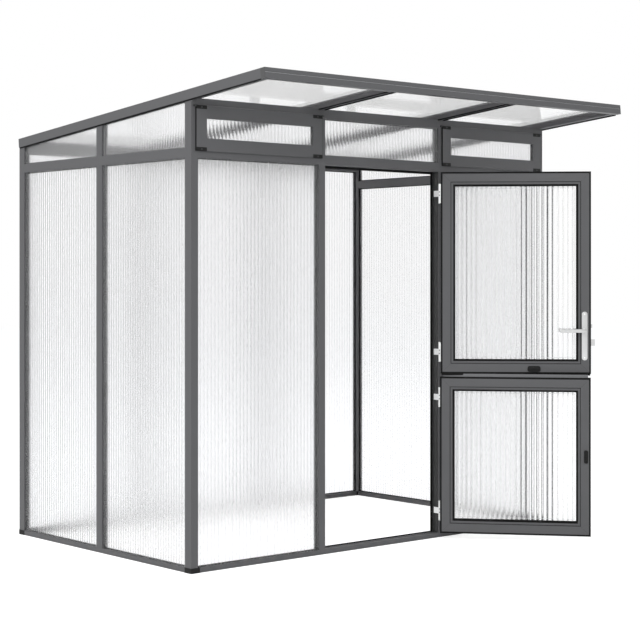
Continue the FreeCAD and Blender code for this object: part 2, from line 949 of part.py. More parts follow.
def roof_end_caps():
    """Plates on both ends of the fascia and on the rear ends of the end rafters."""
    plate = size("end_cap")
    height = size("fascia_height")
    caps = []
    for x in (roof_left, roof_right - plate):
        caps.append(roof_block((x, roof_front, -height), (x + plate, rafter_front, 0)))
    for x in (roof_left, roof_right - size("rake_width")):
        low = (x, rake_rear, -size("rake_height"))
        caps.append(roof_block(low, (x + size("rake_width"), roof_rear, 0)))
    return gather(*caps)


# Vent sashes

vent_axis_y = front - size("vent_gap") - size("vent_flange") / 2
vent_axis_z = header_low + size("vent_lap") - size("vent_flange") / 2


def vent(side, bay):
    """A top-hung sash: flange over the opening, body inside it, plastic corners."""
    lap = size("vent_lap")
    member = size("vent_member")
    wall = size("wall")
    play = size("vent_play")
    nose = size("vent_flange") / 2
    x0 = bay[0] - lap
    x1 = bay[1] + lap
    z0 = vent_low - lap
    z1 = header_low + lap
    face = front - size("vent_gap") - size("vent_flange")
    back = front - size("vent_gap")
    flange = fuse(
        block((x0, face, z0), (x1, back, vent_axis_z)),
        rod("x", (x0, vent_axis_y, vent_axis_z), nose, x1 - x0),
    )
    body_low = (bay[0] + play, back, vent_low + play)
    body_high = (bay[1] - play, front + size("vent_depth"), header_low - play)
    bite = size("sheet_bite")
    opening = block(
        (x0 + member, face, z0 + member),
        (x1 - member, front + size("vent_depth"), z1 - member),
    )
    pane_low = (x0 + member - bite, front, z0 + member - bite)
    pane_high = (x1 - member + bite, front + size("sheet"), z1 - member + bite)
    pane, seat = upright_sheet("y", pane_low, pane_high)
    node(pane, f"vent_glazing_{side}")
    spare = size("channel_spare") + wall
    hollow = cut(
        block(
            (body_low[0] + wall, front + wall, body_low[2] + wall),
            (body_high[0] - wall, front + size("sheet"), body_high[2] - wall),
        ),
        block(
            (pane_low[0] - spare, front + wall, pane_low[2] - spare),
            (pane_high[0] + spare, front + size("sheet"), pane_high[2] + spare),
        ),
    )
    weeps = []
    for x in (x0 + member + member, x1 - member - member):
        start = (x, front + size("sheet") / 2, body_low[2])
        weeps.append(rod("z", start, size("weep_small"), wall + wall))
    cap = size("vent_cap")
    corners = []
    for start, end in ((x0, x0 + member), (x1 - member, x1)):
        corners.append(block((start, face, z0), (end, back, z0 + cap)))
        corners.append(block((start, face, z1 - cap), (end, back, z1)))
    whole_caps = shared(flange, gather(*corners))
    body = fuse(flange, block(body_low, body_high))
    frame = cut(body, opening, seat, hollow, whole_caps, gather(*weeps))
    node(frame, f"vent_frame_{side}")
    reach = size("vent_pin_reach") + size("pivot_gap")
    bore = size("vent_pin") + size("pin_play")
    bores = (
        rod("x", (x0, vent_axis_y, vent_axis_z), bore, reach),
        rod("x", (x1 - reach, vent_axis_y, vent_axis_z), bore, reach),
    )
    node(cut(whole_caps, gather(*bores)), f"vent_end_caps_{side}")


def vent_pivots(bays):
    """Pivot blocks on the posts, each with a pin into the top corner of a sash."""
    pieces = []
    reach = size("vent_pin_reach")
    width = size("pivot_width")
    gap = size("pivot_gap")
    nose = size("vent_flange") / 2
    for bay in bays:
        for edge, outward in ((bay[0] - size("vent_lap"), -1), (bay[1] + size("vent_lap"), 1)):
            near = edge + outward * gap
            far = near + outward * width
            start, end = (far, near) if outward < 0 else (near, far)
            low = (start, vent_axis_y - nose, vent_axis_z - nose)
            high = (end, front, vent_axis_z + nose)
            pin_start = start if outward < 0 else edge - reach
            pin = rod("x", (pin_start, vent_axis_y, vent_axis_z), size("vent_pin"),
                      width + gap + reach)
            pieces.append(fuse(block(low, high), pin))
    return gather(*pieces)


# Door leaves, set out from the hinge axis: x towards the free edge, y towards the
# outside of the house, z up. Each is turned to the angle at which it stands open.

hinge_x = bay_right + size("hinge_inset")
hinge_y = front - size("hinge_proud")
leaf_width = size("door_bay") - 2 * size("leaf_gap")
leaf_near = size("hinge_inset") + size("leaf_gap")
leaf_far = leaf_near + leaf_width
leaf_outer = -size("hinge_proud")
leaf_inner = leaf_outer - size("leaf_thickness")
leaf_glass_edge = (
    size("seal_width") + size("leaf_face") + size("bead_width") + size("gasket_width")
)
leaf_rebate = size("seal_width") + size("leaf_face")
glass_outer = leaf_outer - size("outer_lip") - size("sheet_gap")
glass_inner = glass_outer - size("sheet")
gasket_outer = glass_inner - size("sheet_gap")
gasket_inner = gasket_outer - size("gasket_thickness")
handle_x = leaf_far - size("handle_inset")
cylinder_z = size("lever_height") - size("lock_spacing")
bolt_middle = {
    "latch": size("lever_height") + size("latch_above"),
    "deadbolt": size("lever_height") - size("deadbolt_below"),
}


def hang(item, opening):
    """Turn a leaf's piece about the hinge axis to the angle at which it stands open."""
    from_right = 180 - opening
    hung = gather(item)
    hung.Placement = Placement(Vector(0, 0, 0), Rotation(Vector(0, 0, -1), from_right.value))
    bind(hung, "Placement.Rotation.Angle", from_right)
    return place(hung, (hinge_x, hinge_y, 0))


def leaf_box(inset, y_low, y_high, low, high):
    """A box over the leaf's whole face less an equal border."""
    return (
        (leaf_near + inset, y_low, low + inset),
        (leaf_far - inset, y_high, high - inset),
    )


def leaf_frame(low, high, holes):
    """A hollow frame with a seal rebate, a glazing rebate and an outer lip."""
    wall = size("wall")
    seal_inner = leaf_inner + size("seal_depth")
    outer = block(*leaf_box(0, leaf_inner, leaf_outer, low, high))
    rebate = block(*leaf_box(leaf_rebate, leaf_inner, leaf_outer - size("outer_lip"), low, high))
    light = block(*leaf_box(leaf_glass_edge, leaf_inner, leaf_outer, low, high))
    seal = ring(*leaf_box(0, leaf_inner, seal_inner, low, high), size("seal_width"))
    hollow_edge = size("seal_width") + wall
    hollow = ring(
        *leaf_box(hollow_edge, leaf_inner + wall, leaf_outer - wall, low, high),
        leaf_rebate - wall - hollow_edge,
    )
    weeps = []
    for x in (leaf_near + leaf_width / 4, leaf_far - leaf_width / 4):
        start = (x, (leaf_inner + leaf_outer) / 2, low)
        weeps.append(rod("z", start, size("weep_radius"), hollow_edge + wall))
    return cut(outer, rebate, light, seal, hollow, *weeps, *holes)


def leaf_glazing(low, high):
    edge = leaf_rebate + size("channel_spare")
    return twin_wall("z", "x", *leaf_box(edge, glass_inner, glass_outer, low, high))


def leaf_bead(low, high):
    """The bead that holds the sheet in, a little behind the leaf's flat face."""
    edge = leaf_rebate + size("sheet_gap")
    low_y = leaf_inner + size("bead_setback")
    return ring(
        *leaf_box(edge, low_y, gasket_inner - size("sheet_gap"), low, high),
        size("bead_width") - size("sheet_gap"),
    )


def leaf_seals(low, high):
    """The seal round the inner face, and the gasket against the sheet."""
    seal_inner = leaf_inner + size("seal_depth")
    edge_seal = ring(*leaf_box(0, leaf_inner, seal_inner, low, high), size("seal_width"))
    edge = leaf_rebate + size("channel_spare")
    gasket = ring(
        *leaf_box(edge, gasket_inner, gasket_outer, low, high),
        leaf_glass_edge - edge,
    )
    return gather(edge_seal, gasket)


def leaf_hinges(low, high):
    """The leaf's half of its two hinges: outer knuckles, legs and an edge plate."""
    half = size("hinge_height") / 2
    mid = size("middle_knuckle") / 2 + size("knuckle_gap")
    radius = size("knuckle_radius")
    plate = size("hinge_plate")
    leg_near = size("hinge_inset") + size("knuckle_gap")
    pieces = []
    for z in (low + size("hinge_from_end"), high - size("hinge_from_end")):
        parts = []
        for start, end in ((z - half, z - mid), (z + mid, z + half)):
            parts.append(rod("z", (0, 0, start), radius, end - start))
            parts.append(block(
                (leg_near, leaf_outer - plate, start),
                (leaf_near, radius / 2, end),
            ))
        parts.append(block(
            (leaf_near - plate, leaf_outer - size("hinge_reach"), z - half),
            (leaf_near, leaf_outer, z + half),
        ))
        bore = rod("z", (0, 0, z - half), size("pin_radius") + size("pin_play"), 2 * half)
        pieces.append(cut(fuse(*parts), bore))
    return gather(*pieces)


def post_hinges(centres):
    """The post's half of every hinge: plate on the reveal, middle knuckle and pin."""
    half = size("hinge_height") / 2
    mid = size("middle_knuckle") / 2
    plate = size("hinge_plate")
    pieces = []
    for z in centres:
        pieces.append(fuse(
            block(
                (bay_right - plate, hinge_y, z - mid),
                (bay_right, front + size("hinge_reach"), z + mid),
            ),
            rod("z", (hinge_x, hinge_y, z - mid), size("knuckle_radius"), 2 * mid),
            rod("z", (hinge_x, hinge_y, z - half), size("pin_radius"), 2 * half),
        ))
    return gather(*pieces)


# Lock and handle of the upper leaf

def level_bar(x_low, x_high, y, z, width, thickness):
    """A level flat bar whose round ends are centred on the two given places."""
    radius = width / 2
    return fuse(
        block((x_low, y, z - radius), (x_high, y + thickness, z + radius)),
        rod("y", (x_low, y, z), radius, thickness),
        rod("y", (x_high, y, z), radius, thickness),
    )


def upright_bar(x, y, z_low, z_high, width, thickness):
    """An upright flat bar whose round ends are centred on the two given heights."""
    radius = width / 2
    return fuse(
        block((x - radius, y, z_low), (x + radius, y + thickness, z_high)),
        rod("y", (x, y, z_low), radius, thickness),
        rod("y", (x, y, z_high), radius, thickness),
    )


def handle_holes():
    """Holes through the leaf's stile for the lever necks and the lock cylinder."""
    depth = leaf_outer - leaf_inner
    return [
        rod("y", (handle_x, leaf_inner, size("lever_height")),
            size("neck_radius") + size("part_gap"), depth),
        rod("y", (handle_x, leaf_inner, cylinder_z),
            size("cylinder_radius") + size("part_gap"), depth),
    ]


leaf_middle = (leaf_inner + leaf_outer) / 2


def bolt_box(kind, x_low, x_high, play):
    """A bolt, or with some play the passage that it slides in."""
    half_height = size(f"{kind}_height") / 2 + play
    half_thickness = size(f"{kind}_thickness") / 2 + play
    z = bolt_middle[kind]
    return block(
        (x_low, leaf_middle - half_thickness, z - half_height),
        (x_high, leaf_middle + half_thickness, z + half_height),
    )


case_far = leaf_far - size("seal_width") - size("wall") - size("part_gap")
case_near = case_far - size("lock_front")
bolt_start = case_far - size("bolt_tail")


def edge_passages():
    """Openings in the stile's edge for the two bolts."""
    start = leaf_far - size("seal_width") - size("wall")
    return [bolt_box(kind, start, leaf_far, size("part_gap")) for kind in ("latch", "deadbolt")]


def latch_bolt():
    """A bolt whose tip slants on the side that meets the door post first."""
    length = leaf_far + size("latch_throw") - bolt_start
    thickness = size("latch_thickness")
    corners = (
        (0, 0), (length - size("latch_bevel"), 0), (length, thickness), (0, thickness),
    )
    low = (
        bolt_start,
        leaf_middle - thickness / 2,
        bolt_middle["latch"] - size("latch_height") / 2,
    )
    return extrusion("z", low, size("latch_height"), corners)


def deadbolt():
    return bolt_box("deadbolt", bolt_start, leaf_far + size("deadbolt_throw"), 0)


def strike_pockets():
    """Pockets in the left door post that take the two bolts of a closed leaf."""
    pockets = []
    play = size("strike_play")
    for kind in ("latch", "deadbolt"):
        depth = size(f"{kind}_throw") - size("leaf_gap") + play
        half_height = size(f"{kind}_height") / 2 + play
        half_thickness = size(f"{kind}_thickness") / 2 + play
        y = hinge_y - leaf_middle
        z = bolt_middle[kind]
        pockets.append(block(
            (bay_left - depth, y - half_thickness, z - half_height),
            (bay_left, y + half_thickness, z + half_height),
        ))
    return gather(*pockets)


def lock_case():
    thickness = size("lock_thickness")
    low = leaf_middle - thickness / 2
    case = block(
        (case_near, low, size("lever_height") - size("lock_below")),
        (case_far, low + thickness, size("lever_height") + size("lock_above")),
    )
    passages = [
        bolt_box(kind, bolt_start - size(f"{kind}_throw") - size("part_gap"), case_far,
                 size("part_gap"))
        for kind in ("latch", "deadbolt")
    ]
    follower = rod("y", (handle_x, low, size("lever_height")), size("spindle"), thickness)
    cylinder = rod("y", (handle_x, low, cylinder_z),
                   size("cylinder_radius") + size("part_gap"), thickness)
    return cut(case, gather(follower, cylinder, *passages))


def handle_plates():
    """An inner and an outer backplate with holes for the lever neck and the cylinder."""
    thickness = size("backplate_thickness")
    width = size("backplate_width")
    low = size("lever_height") - size("backplate_below") + width / 2
    high = size("lever_height") + size("backplate_above") - width / 2
    plates = []
    for y in (leaf_inner - thickness, leaf_outer):
        plate = upright_bar(handle_x, y, low, high, width, thickness)
        neck = rod("y", (handle_x, y, size("lever_height")),
                   size("neck_radius") + size("pin_play"), thickness)
        cylinder = rod("y", (handle_x, y, cylinder_z),
                       size("cylinder_radius") + size("pin_play"), thickness)
        plates.append(cut(plate, gather(neck, cylinder)))
    return gather(*plates)


def lever_handles():
    """Both levers on their square spindle; the grips point towards the hinges."""
    z = size("lever_height")
    neck = size("neck_length")
    plate = size("backplate_thickness")
    grip = size("grip_thickness")
    tip = handle_x - size("grip_length") + size("grip_height") / 2
    inner_face = leaf_inner - plate
    outer_face = leaf_outer + plate
    half = size("spindle") / 2
    parts = [
        block((handle_x - half, inner_face, z - half), (handle_x + half, outer_face, z + half)),
        rod("y", (handle_x, inner_face - neck, z), size("neck_radius"), neck + plate),
        rod("y", (handle_x, leaf_outer, z), size("neck_radius"), neck + plate),
    ]
    for y in (inner_face - neck - grip, outer_face + neck):
        parts.append(level_bar(tip, handle_x, y, z, size("grip_height"), grip))
    return fuse(*parts)


def lock_cylinder():
    """The turning cylinder, with a key slot in each end."""
    proud = size("cylinder_proud") + size("backplate_thickness")
    start = leaf_inner - proud
    length = leaf_outer - leaf_inner + 2 * proud
    body = rod("y", (handle_x, start, cylinder_z), size("cylinder_radius"), length)
    slot = size("key_slot")
    tall = size("cylinder_radius") / 2
    slots = []
    for y in (start, start + length - slot):
        slots.append(block(
            (handle_x - slot / 2, y, cylinder_z - tall),
            (handle_x + slot / 2, y + slot, cylinder_z + tall),
        ))
    return cut(body, *slots)


def turn_button(blade, pivot_x, pivot_z):
    """A flat blade on a hub; the hub's pin turns in the leaf's inner wall."""
    hub_y = leaf_inner - size("button_standoff")
    hub_length = size("button_standoff") - size("part_gap")
    pin_length = size("button_standoff") + size("wall")
    return fuse(
        blade,
        rod("y", (pivot_x, hub_y, pivot_z), size("button_hub"), hub_length),
        rod("y", (pivot_x, hub_y, pivot_z), size("button_pin"), pin_length),
    )


blade_y = leaf_inner - size("button_standoff") - size("button_thickness")
upper_button_x = leaf_far - size("upper_button_inset")
upper_button_z = size("meeting_height") + size("upper_button_rise")
lower_button_x = leaf_far - size("lower_button_inset")
lower_button_z = size("lower_button_height")


def upper_turn_button():
    """It hangs behind the weather bar of the lower leaf when it is turned down."""
    width = size("upper_button_width")
    far = upper_button_x + size("upper_button_tail") - width / 2
    near = far - size("button_length") + width
    blade = level_bar(near, far, blade_y, upper_button_z, width, size("button_thickness"))
    return turn_button(blade, upper_button_x, upper_button_z)


def lower_turn_button():
    """It reaches behind the door post when it is turned level."""
    width = size("button_width")
    half = (size("button_length") - width) / 2
    blade = upright_bar(lower_button_x, blade_y, lower_button_z - half, lower_button_z + half,
                        width, size("button_thickness"))
    return turn_button(blade, lower_button_x, lower_button_z)


def button_hole(x, z):
    radius = size("button_pin") + size("pin_play")
    return rod("y", (x, leaf_inner, z), radius, size("wall"))


def upper_leaf(low, high):
    """The upper leaf with its lock, standing open."""
    holes = handle_holes() + edge_passages() + [button_hole(upper_button_x, upper_button_z)]
    pieces = (
        (leaf_frame(low, high, holes), "upper_leaf_frame"),
        (leaf_glazing(low, high), "upper_leaf_glazing"),
        (leaf_bead(low, high), "upper_leaf_bead"),
        (leaf_seals(low, high), "upper_leaf_seals"),
        (leaf_hinges(low, high), "upper_leaf_hinges"),
        (handle_plates(), "handle_backplates"),
        (lever_handles(), "lever_handles"),
        (lock_case(), "lock_case"),
        (lock_cylinder(), "lock_cylinder"),
        (latch_bolt(), "latch_bolt"),
        (deadbolt(), "deadbolt"),
        (upper_turn_button(), "upper_turn_button"),
    )
    for piece, label in pieces:
        node(hang(piece, size("upper_opening")), label)


def weather_bar(leaf_top, play, foot_low):
    """The bar over the meeting edge, or with some play the groove that it stands in."""
    bar_y = leaf_inner + size("seal_depth") + size("part_gap")
    inset = size("weather_bar_inset")
    return block(
        (leaf_near + inset - play, bar_y - play, foot_low),
        (leaf_far - inset + play, bar_y + size("weather_bar_thickness") + play,
         leaf_top + size("weather_bar")),
    )


def lower_leaf(low, high):
    """The lower leaf, with a weather bar over its top edge, standing open."""
    foot_low = high - size("weather_bar_foot")
    groove = weather_bar(high, size("part_gap"), foot_low)
    holes = [button_hole(lower_button_x, lower_button_z), groove]
    pieces = (
        (leaf_frame(low, high, holes), "lower_leaf_frame"),
        (weather_bar(high, 0, foot_low), "lower_leaf_weather_bar"),
        (leaf_glazing(low, high), "lower_leaf_glazing"),
        (leaf_bead(low, high), "lower_leaf_bead"),
        (leaf_seals(low, high), "lower_leaf_seals"),
        (leaf_hinges(low, high), "lower_leaf_hinges"),
        (lower_turn_button(), "lower_turn_button"),
    )
    for piece, label in pieces:
        node(hang(piece, size("lower_opening")), label)


def door_stops():
    """Strips behind the closed leaves: two jambs, a head and a sill."""
    width = size("stop_width")
    y = front + size("leaf_thickness") + size("stop_gap")
    sill = size("base_height")
    jamb_low = sill + size("sill_seal")
    jamb_high = size("transom_low") - width
    return gather(
        block((bay_left, y, jamb_low), (bay_left + width, front_inner, jamb_high)),
        block((bay_right - width, y, jamb_low), (bay_right, front_inner, jamb_high)),
        block((bay_left, y, jamb_high), (bay_right, front_inner, size("transom_low"))),
        block((bay_left, y, sill), (bay_right, front_inner, jamb_low)),
    )


def build():
    front_channels = front_glazing()
    side_channels = side_glazing()
    rear_channels = rear_glazing()
    roof_channels = roof_glazing()
    end_channels = {"front": front_channels, "rear": rear_channels}

    base(front_channels, side_channels, rear_channels)
    for end in ("front", "rear"):
        for side in ("left", "right"):
            post = corner_post(side, end, end_channels[end], side_channels[side])
            node(post, f"corner_post_{end}_{side}")
    node(side_mullions(side_channels), "side_mullions")
    node(rear_mullions(rear_channels), "rear_mullions")
    node(door_post("left", front_channels, strike_pockets()), "door_post_left")
    node(door_post("right", front_channels), "door_post_right")
    node(front_transoms(front_channels), "front_transoms")
    node(side_transoms(side_channels), "side_transoms")
    node(front_header(front_channels), "front_header")
    node(rear_top_rail(rear_channels), "rear_top_rail")

    node(rake("left", side_channels["left"], roof_channels), "rake_left")
    node(rake("right", side_channels["right"], roof_channels), "rake_right")
    node(rafters(roof_channels), "rafters")
    node(cap_strips(), "roof_cap_strips")
    node(fascia(roof_channels), "fascia")
    node(eave_rail(roof_channels), "rear_eave_rail")
    node(roof_end_caps(), "roof_end_caps")

    vent_bays = (
        (inner_left, bay_left - size("post_width")),
        (bay_right + size("post_width"), inner_right),
    )
    vent("left", vent_bays[0])
    vent("right", vent_bays[1])
    node(vent_pivots(vent_bays), "vent_pivots")

    node(door_stops(), "door_stops")
    upper_low = size("meeting_height")
    upper_high = size("transom_low") - size("head_gap")
    lower_low = size("base_height") + size("sill_gap")
    lower_high = size("meeting_height") - size("meeting_gap")
    upper_leaf(upper_low, upper_high)
    lower_leaf(lower_low, lower_high)
    end = size("hinge_from_end")
    centres = (lower_low + end, lower_high - end, upper_low + end, upper_high - end)
    node(post_hinges(centres), "post_hinges")


def checked(item):
    """A finished sub-part's shape, or an error that names it."""
    shape = item.Shape
    if shape.isNull() or not shape.isValid() or not shape.Solids:
        raise RuntimeError(f"{item.Label} has no valid solid")
    return shape


def write_nodes():
    os.makedirs("parts", exist_ok=True)
    for item in nodes:
        checked(item).exportStep(f"parts/{item.Label}.step")


build()
doc.recompute()
for item in doc.Objects:
    if "Invalid" in item.State or "Error" in item.State:
        raise RuntimeError(f"{item.Name} did not compute: {item.State}")
write_nodes()
print(len(nodes), "sub-parts written")
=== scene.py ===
"""Looks of a lean-to greenhouse: twin-wall sheets in a dark coated frame, with a stable door.

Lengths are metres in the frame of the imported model: +X right seen from the door side, +Y to
the rear, +Z up, with the origin at the middle of the rear base rail's underside.
"""

import json
import logging
import math
from abc import ABC, abstractmethod
from dataclasses import dataclass, field
from enum import Enum

import bpy
import numpy as np
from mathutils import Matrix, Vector


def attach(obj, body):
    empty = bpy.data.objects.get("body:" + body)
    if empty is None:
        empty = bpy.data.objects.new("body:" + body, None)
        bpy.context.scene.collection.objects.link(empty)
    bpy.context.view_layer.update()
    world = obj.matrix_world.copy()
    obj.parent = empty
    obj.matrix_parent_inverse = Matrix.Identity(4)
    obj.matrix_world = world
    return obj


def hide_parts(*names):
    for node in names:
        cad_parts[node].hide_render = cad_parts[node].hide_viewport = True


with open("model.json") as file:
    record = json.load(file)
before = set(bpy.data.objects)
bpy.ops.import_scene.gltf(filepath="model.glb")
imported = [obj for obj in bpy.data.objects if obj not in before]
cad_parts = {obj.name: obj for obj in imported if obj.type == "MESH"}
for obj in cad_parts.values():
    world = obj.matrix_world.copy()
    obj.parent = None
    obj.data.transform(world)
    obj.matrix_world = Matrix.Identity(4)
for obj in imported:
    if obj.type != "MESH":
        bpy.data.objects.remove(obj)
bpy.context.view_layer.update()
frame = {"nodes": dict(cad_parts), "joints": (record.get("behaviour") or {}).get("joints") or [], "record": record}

log = logging.getLogger("greenhouse")

Colour = tuple[float, float, float]
Profile = tuple[tuple[float, float], ...]
Number = "Sock | float"

ACROSS, THROUGH, UP = np.eye(3)

# Sockets of the colour mix node by number, because its names repeat.
MIX_FACTOR, MIX_FIRST, MIX_SECOND, MIX_RESULT = 0, 6, 7, 2


def grey(level: float) -> Colour:
    """A neutral colour of one linear level."""
    return (level, level, level)


class Sock:
    """A socket of a material's graph, with arithmetic that adds Math nodes."""

    def __init__(self, graph: "Graph", socket: bpy.types.NodeSocket) -> None:
        """Wrap one output socket of a graph."""
        self.graph = graph
        self.socket = socket

    def _math(self, operation: str, *values: "Number") -> "Sock":
        """One Math node on this graph."""
        return self.graph.node("ShaderNodeMath", {"operation": operation}, values)

    def __add__(self, other: "Number") -> "Sock":
        """Sum."""
        return self._math("ADD", self, other)

    def __radd__(self, other: "Number") -> "Sock":
        """Sum with the number first."""
        return self._math("ADD", other, self)

    def __sub__(self, other: "Number") -> "Sock":
        """Difference."""
        return self._math("SUBTRACT", self, other)

    def __rsub__(self, other: "Number") -> "Sock":
        """Difference with the number first."""
        return self._math("SUBTRACT", other, self)

    def __mul__(self, other: "Number") -> "Sock":
        """Product."""
        return self._math("MULTIPLY", self, other)

    def __rmul__(self, other: "Number") -> "Sock":
        """Product with the number first."""
        return self._math("MULTIPLY", other, self)

    def at_least(self, other: "Number") -> "Sock":
        """The greater of the two values."""
        return self._math("MAXIMUM", self, other)

    def ramp(self, low: float, high: float) -> "Sock":
        """A smooth rise from 0 at the first value to 1 at the second."""
        settings = {"interpolation_type": "SMOOTHSTEP"}
        return self.graph.node("ShaderNodeMapRange", settings,
                               {"Value": self, "From Min": low, "From Max": high})

    def swing(self, level: float, reach: float) -> "Sock":
        """A level that this noise between 0 and 1 moves by half the reach either way."""
        return level + reach * (self - 0.5)


class Graph:
    """The node tree of a material or of the world."""

    def __init__(self, tree: bpy.types.NodeTree) -> None:
        """Empty the tree and keep it."""
        self.tree = tree
        tree.nodes.clear()

    def add(self, kind: str, settings: dict | None = None,
            values: dict | tuple = ()) -> bpy.types.Node:
        """A node with its settings, and the values or links of its inputs.

        Args:
            kind: The node's type.
            settings: Properties of the node, set before its inputs.
            values: The inputs, by name or in order: numbers, colours or other sockets.

        Returns:
            The node itself.
        """
        node = self.tree.nodes.new(kind)
        for name, value in (settings or {}).items():
            setattr(node, name, value)
        pairs = values.items() if isinstance(values, dict) else enumerate(values)
        for key, value in pairs:
            target = node.inputs[key]
            if isinstance(value, Sock):
                self.tree.links.new(value.socket, target)
            elif isinstance(value, tuple) and len(target.default_value) == len(value) + 1:
                target.default_value = (*value, 1.0)
            else:
                target.default_value = value
        return node

    def node(self, kind: str, settings: dict | None = None, values: dict | tuple = (),
             output: int | str = 0) -> Sock:
        """A node as add() makes it, given back as one of its outputs."""
        return Sock(self, self.add(kind, settings, values).outputs[output])

    def mix(self, factor: "Number", first: "Sock | Colour", second: "Sock | Colour") -> Sock:
        """The first colour at factor 0 and the second at factor 1."""
        values = {MIX_FACTOR: factor, MIX_FIRST: first, MIX_SECOND: second}
        return self.node("ShaderNodeMix", {"data_type": "RGBA"}, values, MIX_RESULT)

    def place(self) -> Sock:
        """Object coordinates, in metres in the frame of the model."""
        return self.node("ShaderNodeTexCoord", output="Object")
    def noise(self, place: Sock, scale: float, detail: float = 2.0) -> Sock:
        """Soft noise between 0 and 1; the scale is in lumps a metre."""
        return self.node("ShaderNodeTexNoise", values={"Vector": place, "Scale": scale,
                                                       "Detail": detail})

    def stretched(self, place: Sock, scale: Colour) -> Sock:
        """A place scaled by its own number along each axis."""
        return self.node("ShaderNodeMapping", values={"Vector": place, "Scale": scale})

    def bump(self, height: Sock, distance: float, strength: float) -> Sock:
        """A normal from a height between 0 and 1 and its real depth."""
        values = {"Height": height, "Distance": distance, "Strength": strength}
        return self.node("ShaderNodeBump", values=values)

    def surface(self, shader: Sock) -> None:
        """Make a shader the material's surface."""
        self.add("ShaderNodeOutputMaterial", values={"Surface": shader})

    def principled(self, values: dict) -> None:
        """Make a principled shader with these inputs the material's surface."""
        self.surface(self.node("ShaderNodeBsdfPrincipled", values=values))


def new_material(name: str) -> tuple[bpy.types.Material, Graph]:
    """A material with an empty graph.

    Args:
        name: The material's name.

    Returns:
        The material and its graph.
    """
    material = bpy.data.materials.new(name)
    material.use_nodes = True
    return material, Graph(material.node_tree)


@dataclass(frozen=True)
class Look(ABC):
    """A finish: a name and the graph of its looks. Lumps are counted by the metre."""

    name: str

    @abstractmethod
    def paint(self, graph: Graph) -> None:
        """Fill the finish's graph."""

    def material(self) -> bpy.types.Material:
        """Build the finish.

        Returns:
            Its material.
        """
        material, graph = new_material(self.name)
        self.paint(graph)
        return material


@dataclass(frozen=True)
class PowderCoat(Look):
    """Dark coated aluminium: a fine orange-peel skin, softly clouded."""

    name: str = "coated_aluminium"
    colour: Colour = (0.094, 0.094, 0.0975)
    cloud: float = 0.07
    cloud_lumps: float = 9.0
    grain_lumps: float = 900.0
    grain_share: float = 0.4
    roughness: float = 0.42
    swing: float = 0.08
    shine: float = 0.42
    peel_lumps: float = 420.0
    peel_depth: float = 0.00012
    peel_strength: float = 0.5

    def paint(self, graph: Graph) -> None:
        """Fill the graph: cloud and grain move the colour either way by the cloud's share.

        Args:
            graph: The finish's graph.
        """
        place = graph.place()
        cloud = graph.noise(place, self.cloud_lumps)
        grain = graph.noise(place, self.grain_lumps, 1.0)
        dark = tuple(value * (1.0 - self.cloud) for value in self.colour)
        light = tuple(value * (1.0 + self.cloud) for value in self.colour)
        tone = cloud * (1.0 - self.grain_share) + grain * self.grain_share
        peel = graph.noise(place, self.peel_lumps, 1.0)
        graph.principled({
            "Base Color": graph.mix(tone, dark, light),
            "Roughness": cloud.swing(self.roughness, self.swing),
            "Specular IOR Level": self.shine,
            "Normal": graph.bump(peel, self.peel_depth, self.peel_strength),
        })


@dataclass(frozen=True)
class Moulding(Look):
    """Black moulded plastic with a spark-eroded grain."""

    name: str = "moulded_black"
    colour: Colour = grey(0.006)
    worn: Colour = grey(0.012)
    lumps: float = 35.0
    roughness: float = 0.55
    swing: float = 0.1
    shine: float = 0.2
    skin: str = "ShaderNodeTexVoronoi"
    skin_lumps: float = 1100.0
    skin_depth: float = 0.00006
    skin_strength: float = 0.5

    def paint(self, graph: Graph) -> None:
        """Fill the graph: soft lumps move colour and roughness, and the skin is a bump.

        Args:
            graph: The finish's graph.
        """
        place = graph.place()
        cloud = graph.noise(place, self.lumps, 3.0)
        skin = graph.node(self.skin, values={"Vector": place, "Scale": self.skin_lumps})
        graph.principled({
            "Base Color": graph.mix(cloud, self.colour, self.worn),
            "Roughness": cloud.swing(self.roughness, self.swing),
            "Specular IOR Level": self.shine,
            "Normal": graph.bump(skin, self.skin_depth, self.skin_strength),
        })


@dataclass(frozen=True)
class Rubber(Moulding):
    """Black seal rubber with a dusty bloom and a soft skin."""

    name: str = "seal_rubber"
    colour: Colour = grey(0.004)
    worn: Colour = grey(0.009)
    lumps: float = 60.0
    roughness: float = 0.72
    swing: float = 0.12
    shine: float = 0.12
    skin: str = "ShaderNodeTexNoise"
    skin_lumps: float = 1400.0
    skin_depth: float = 0.00005
    skin_strength: float = 0.4


@dataclass(frozen=True)
class SatinMetal(Look):
    """Ground metal with a fine grain that runs one way."""

    name: str = "satin_metal"
    colour: Colour = grey(0.66)
    shade: Colour = grey(0.5)
    grain: Colour = (60.0, 60.0, 2400.0)
    cloud_lumps: float = 30.0
    cloud_share: float = 0.5
    roughness: float = 0.3
    swing: float = 0.1
    metallic: float = 1.0
    grain_depth: float = 0.00002
    grain_strength: float = 0.3

    def paint(self, graph: Graph) -> None:
        """Fill the graph: lines along the grain, and cloud between them.

        Args:
            graph: The finish's graph.
        """
        place = graph.place()
        lines = graph.noise(graph.stretched(place, self.grain), 1.0)
        cloud = graph.noise(place, self.cloud_lumps)
        tone = lines * (1.0 - self.cloud_share) + cloud * self.cloud_share
        graph.principled({
            "Base Color": graph.mix(tone, self.shade, self.colour),
            "Metallic": self.metallic,
            "Roughness": lines.swing(self.roughness, self.swing),
            "Normal": graph.bump(lines, self.grain_depth, self.grain_strength),
        })


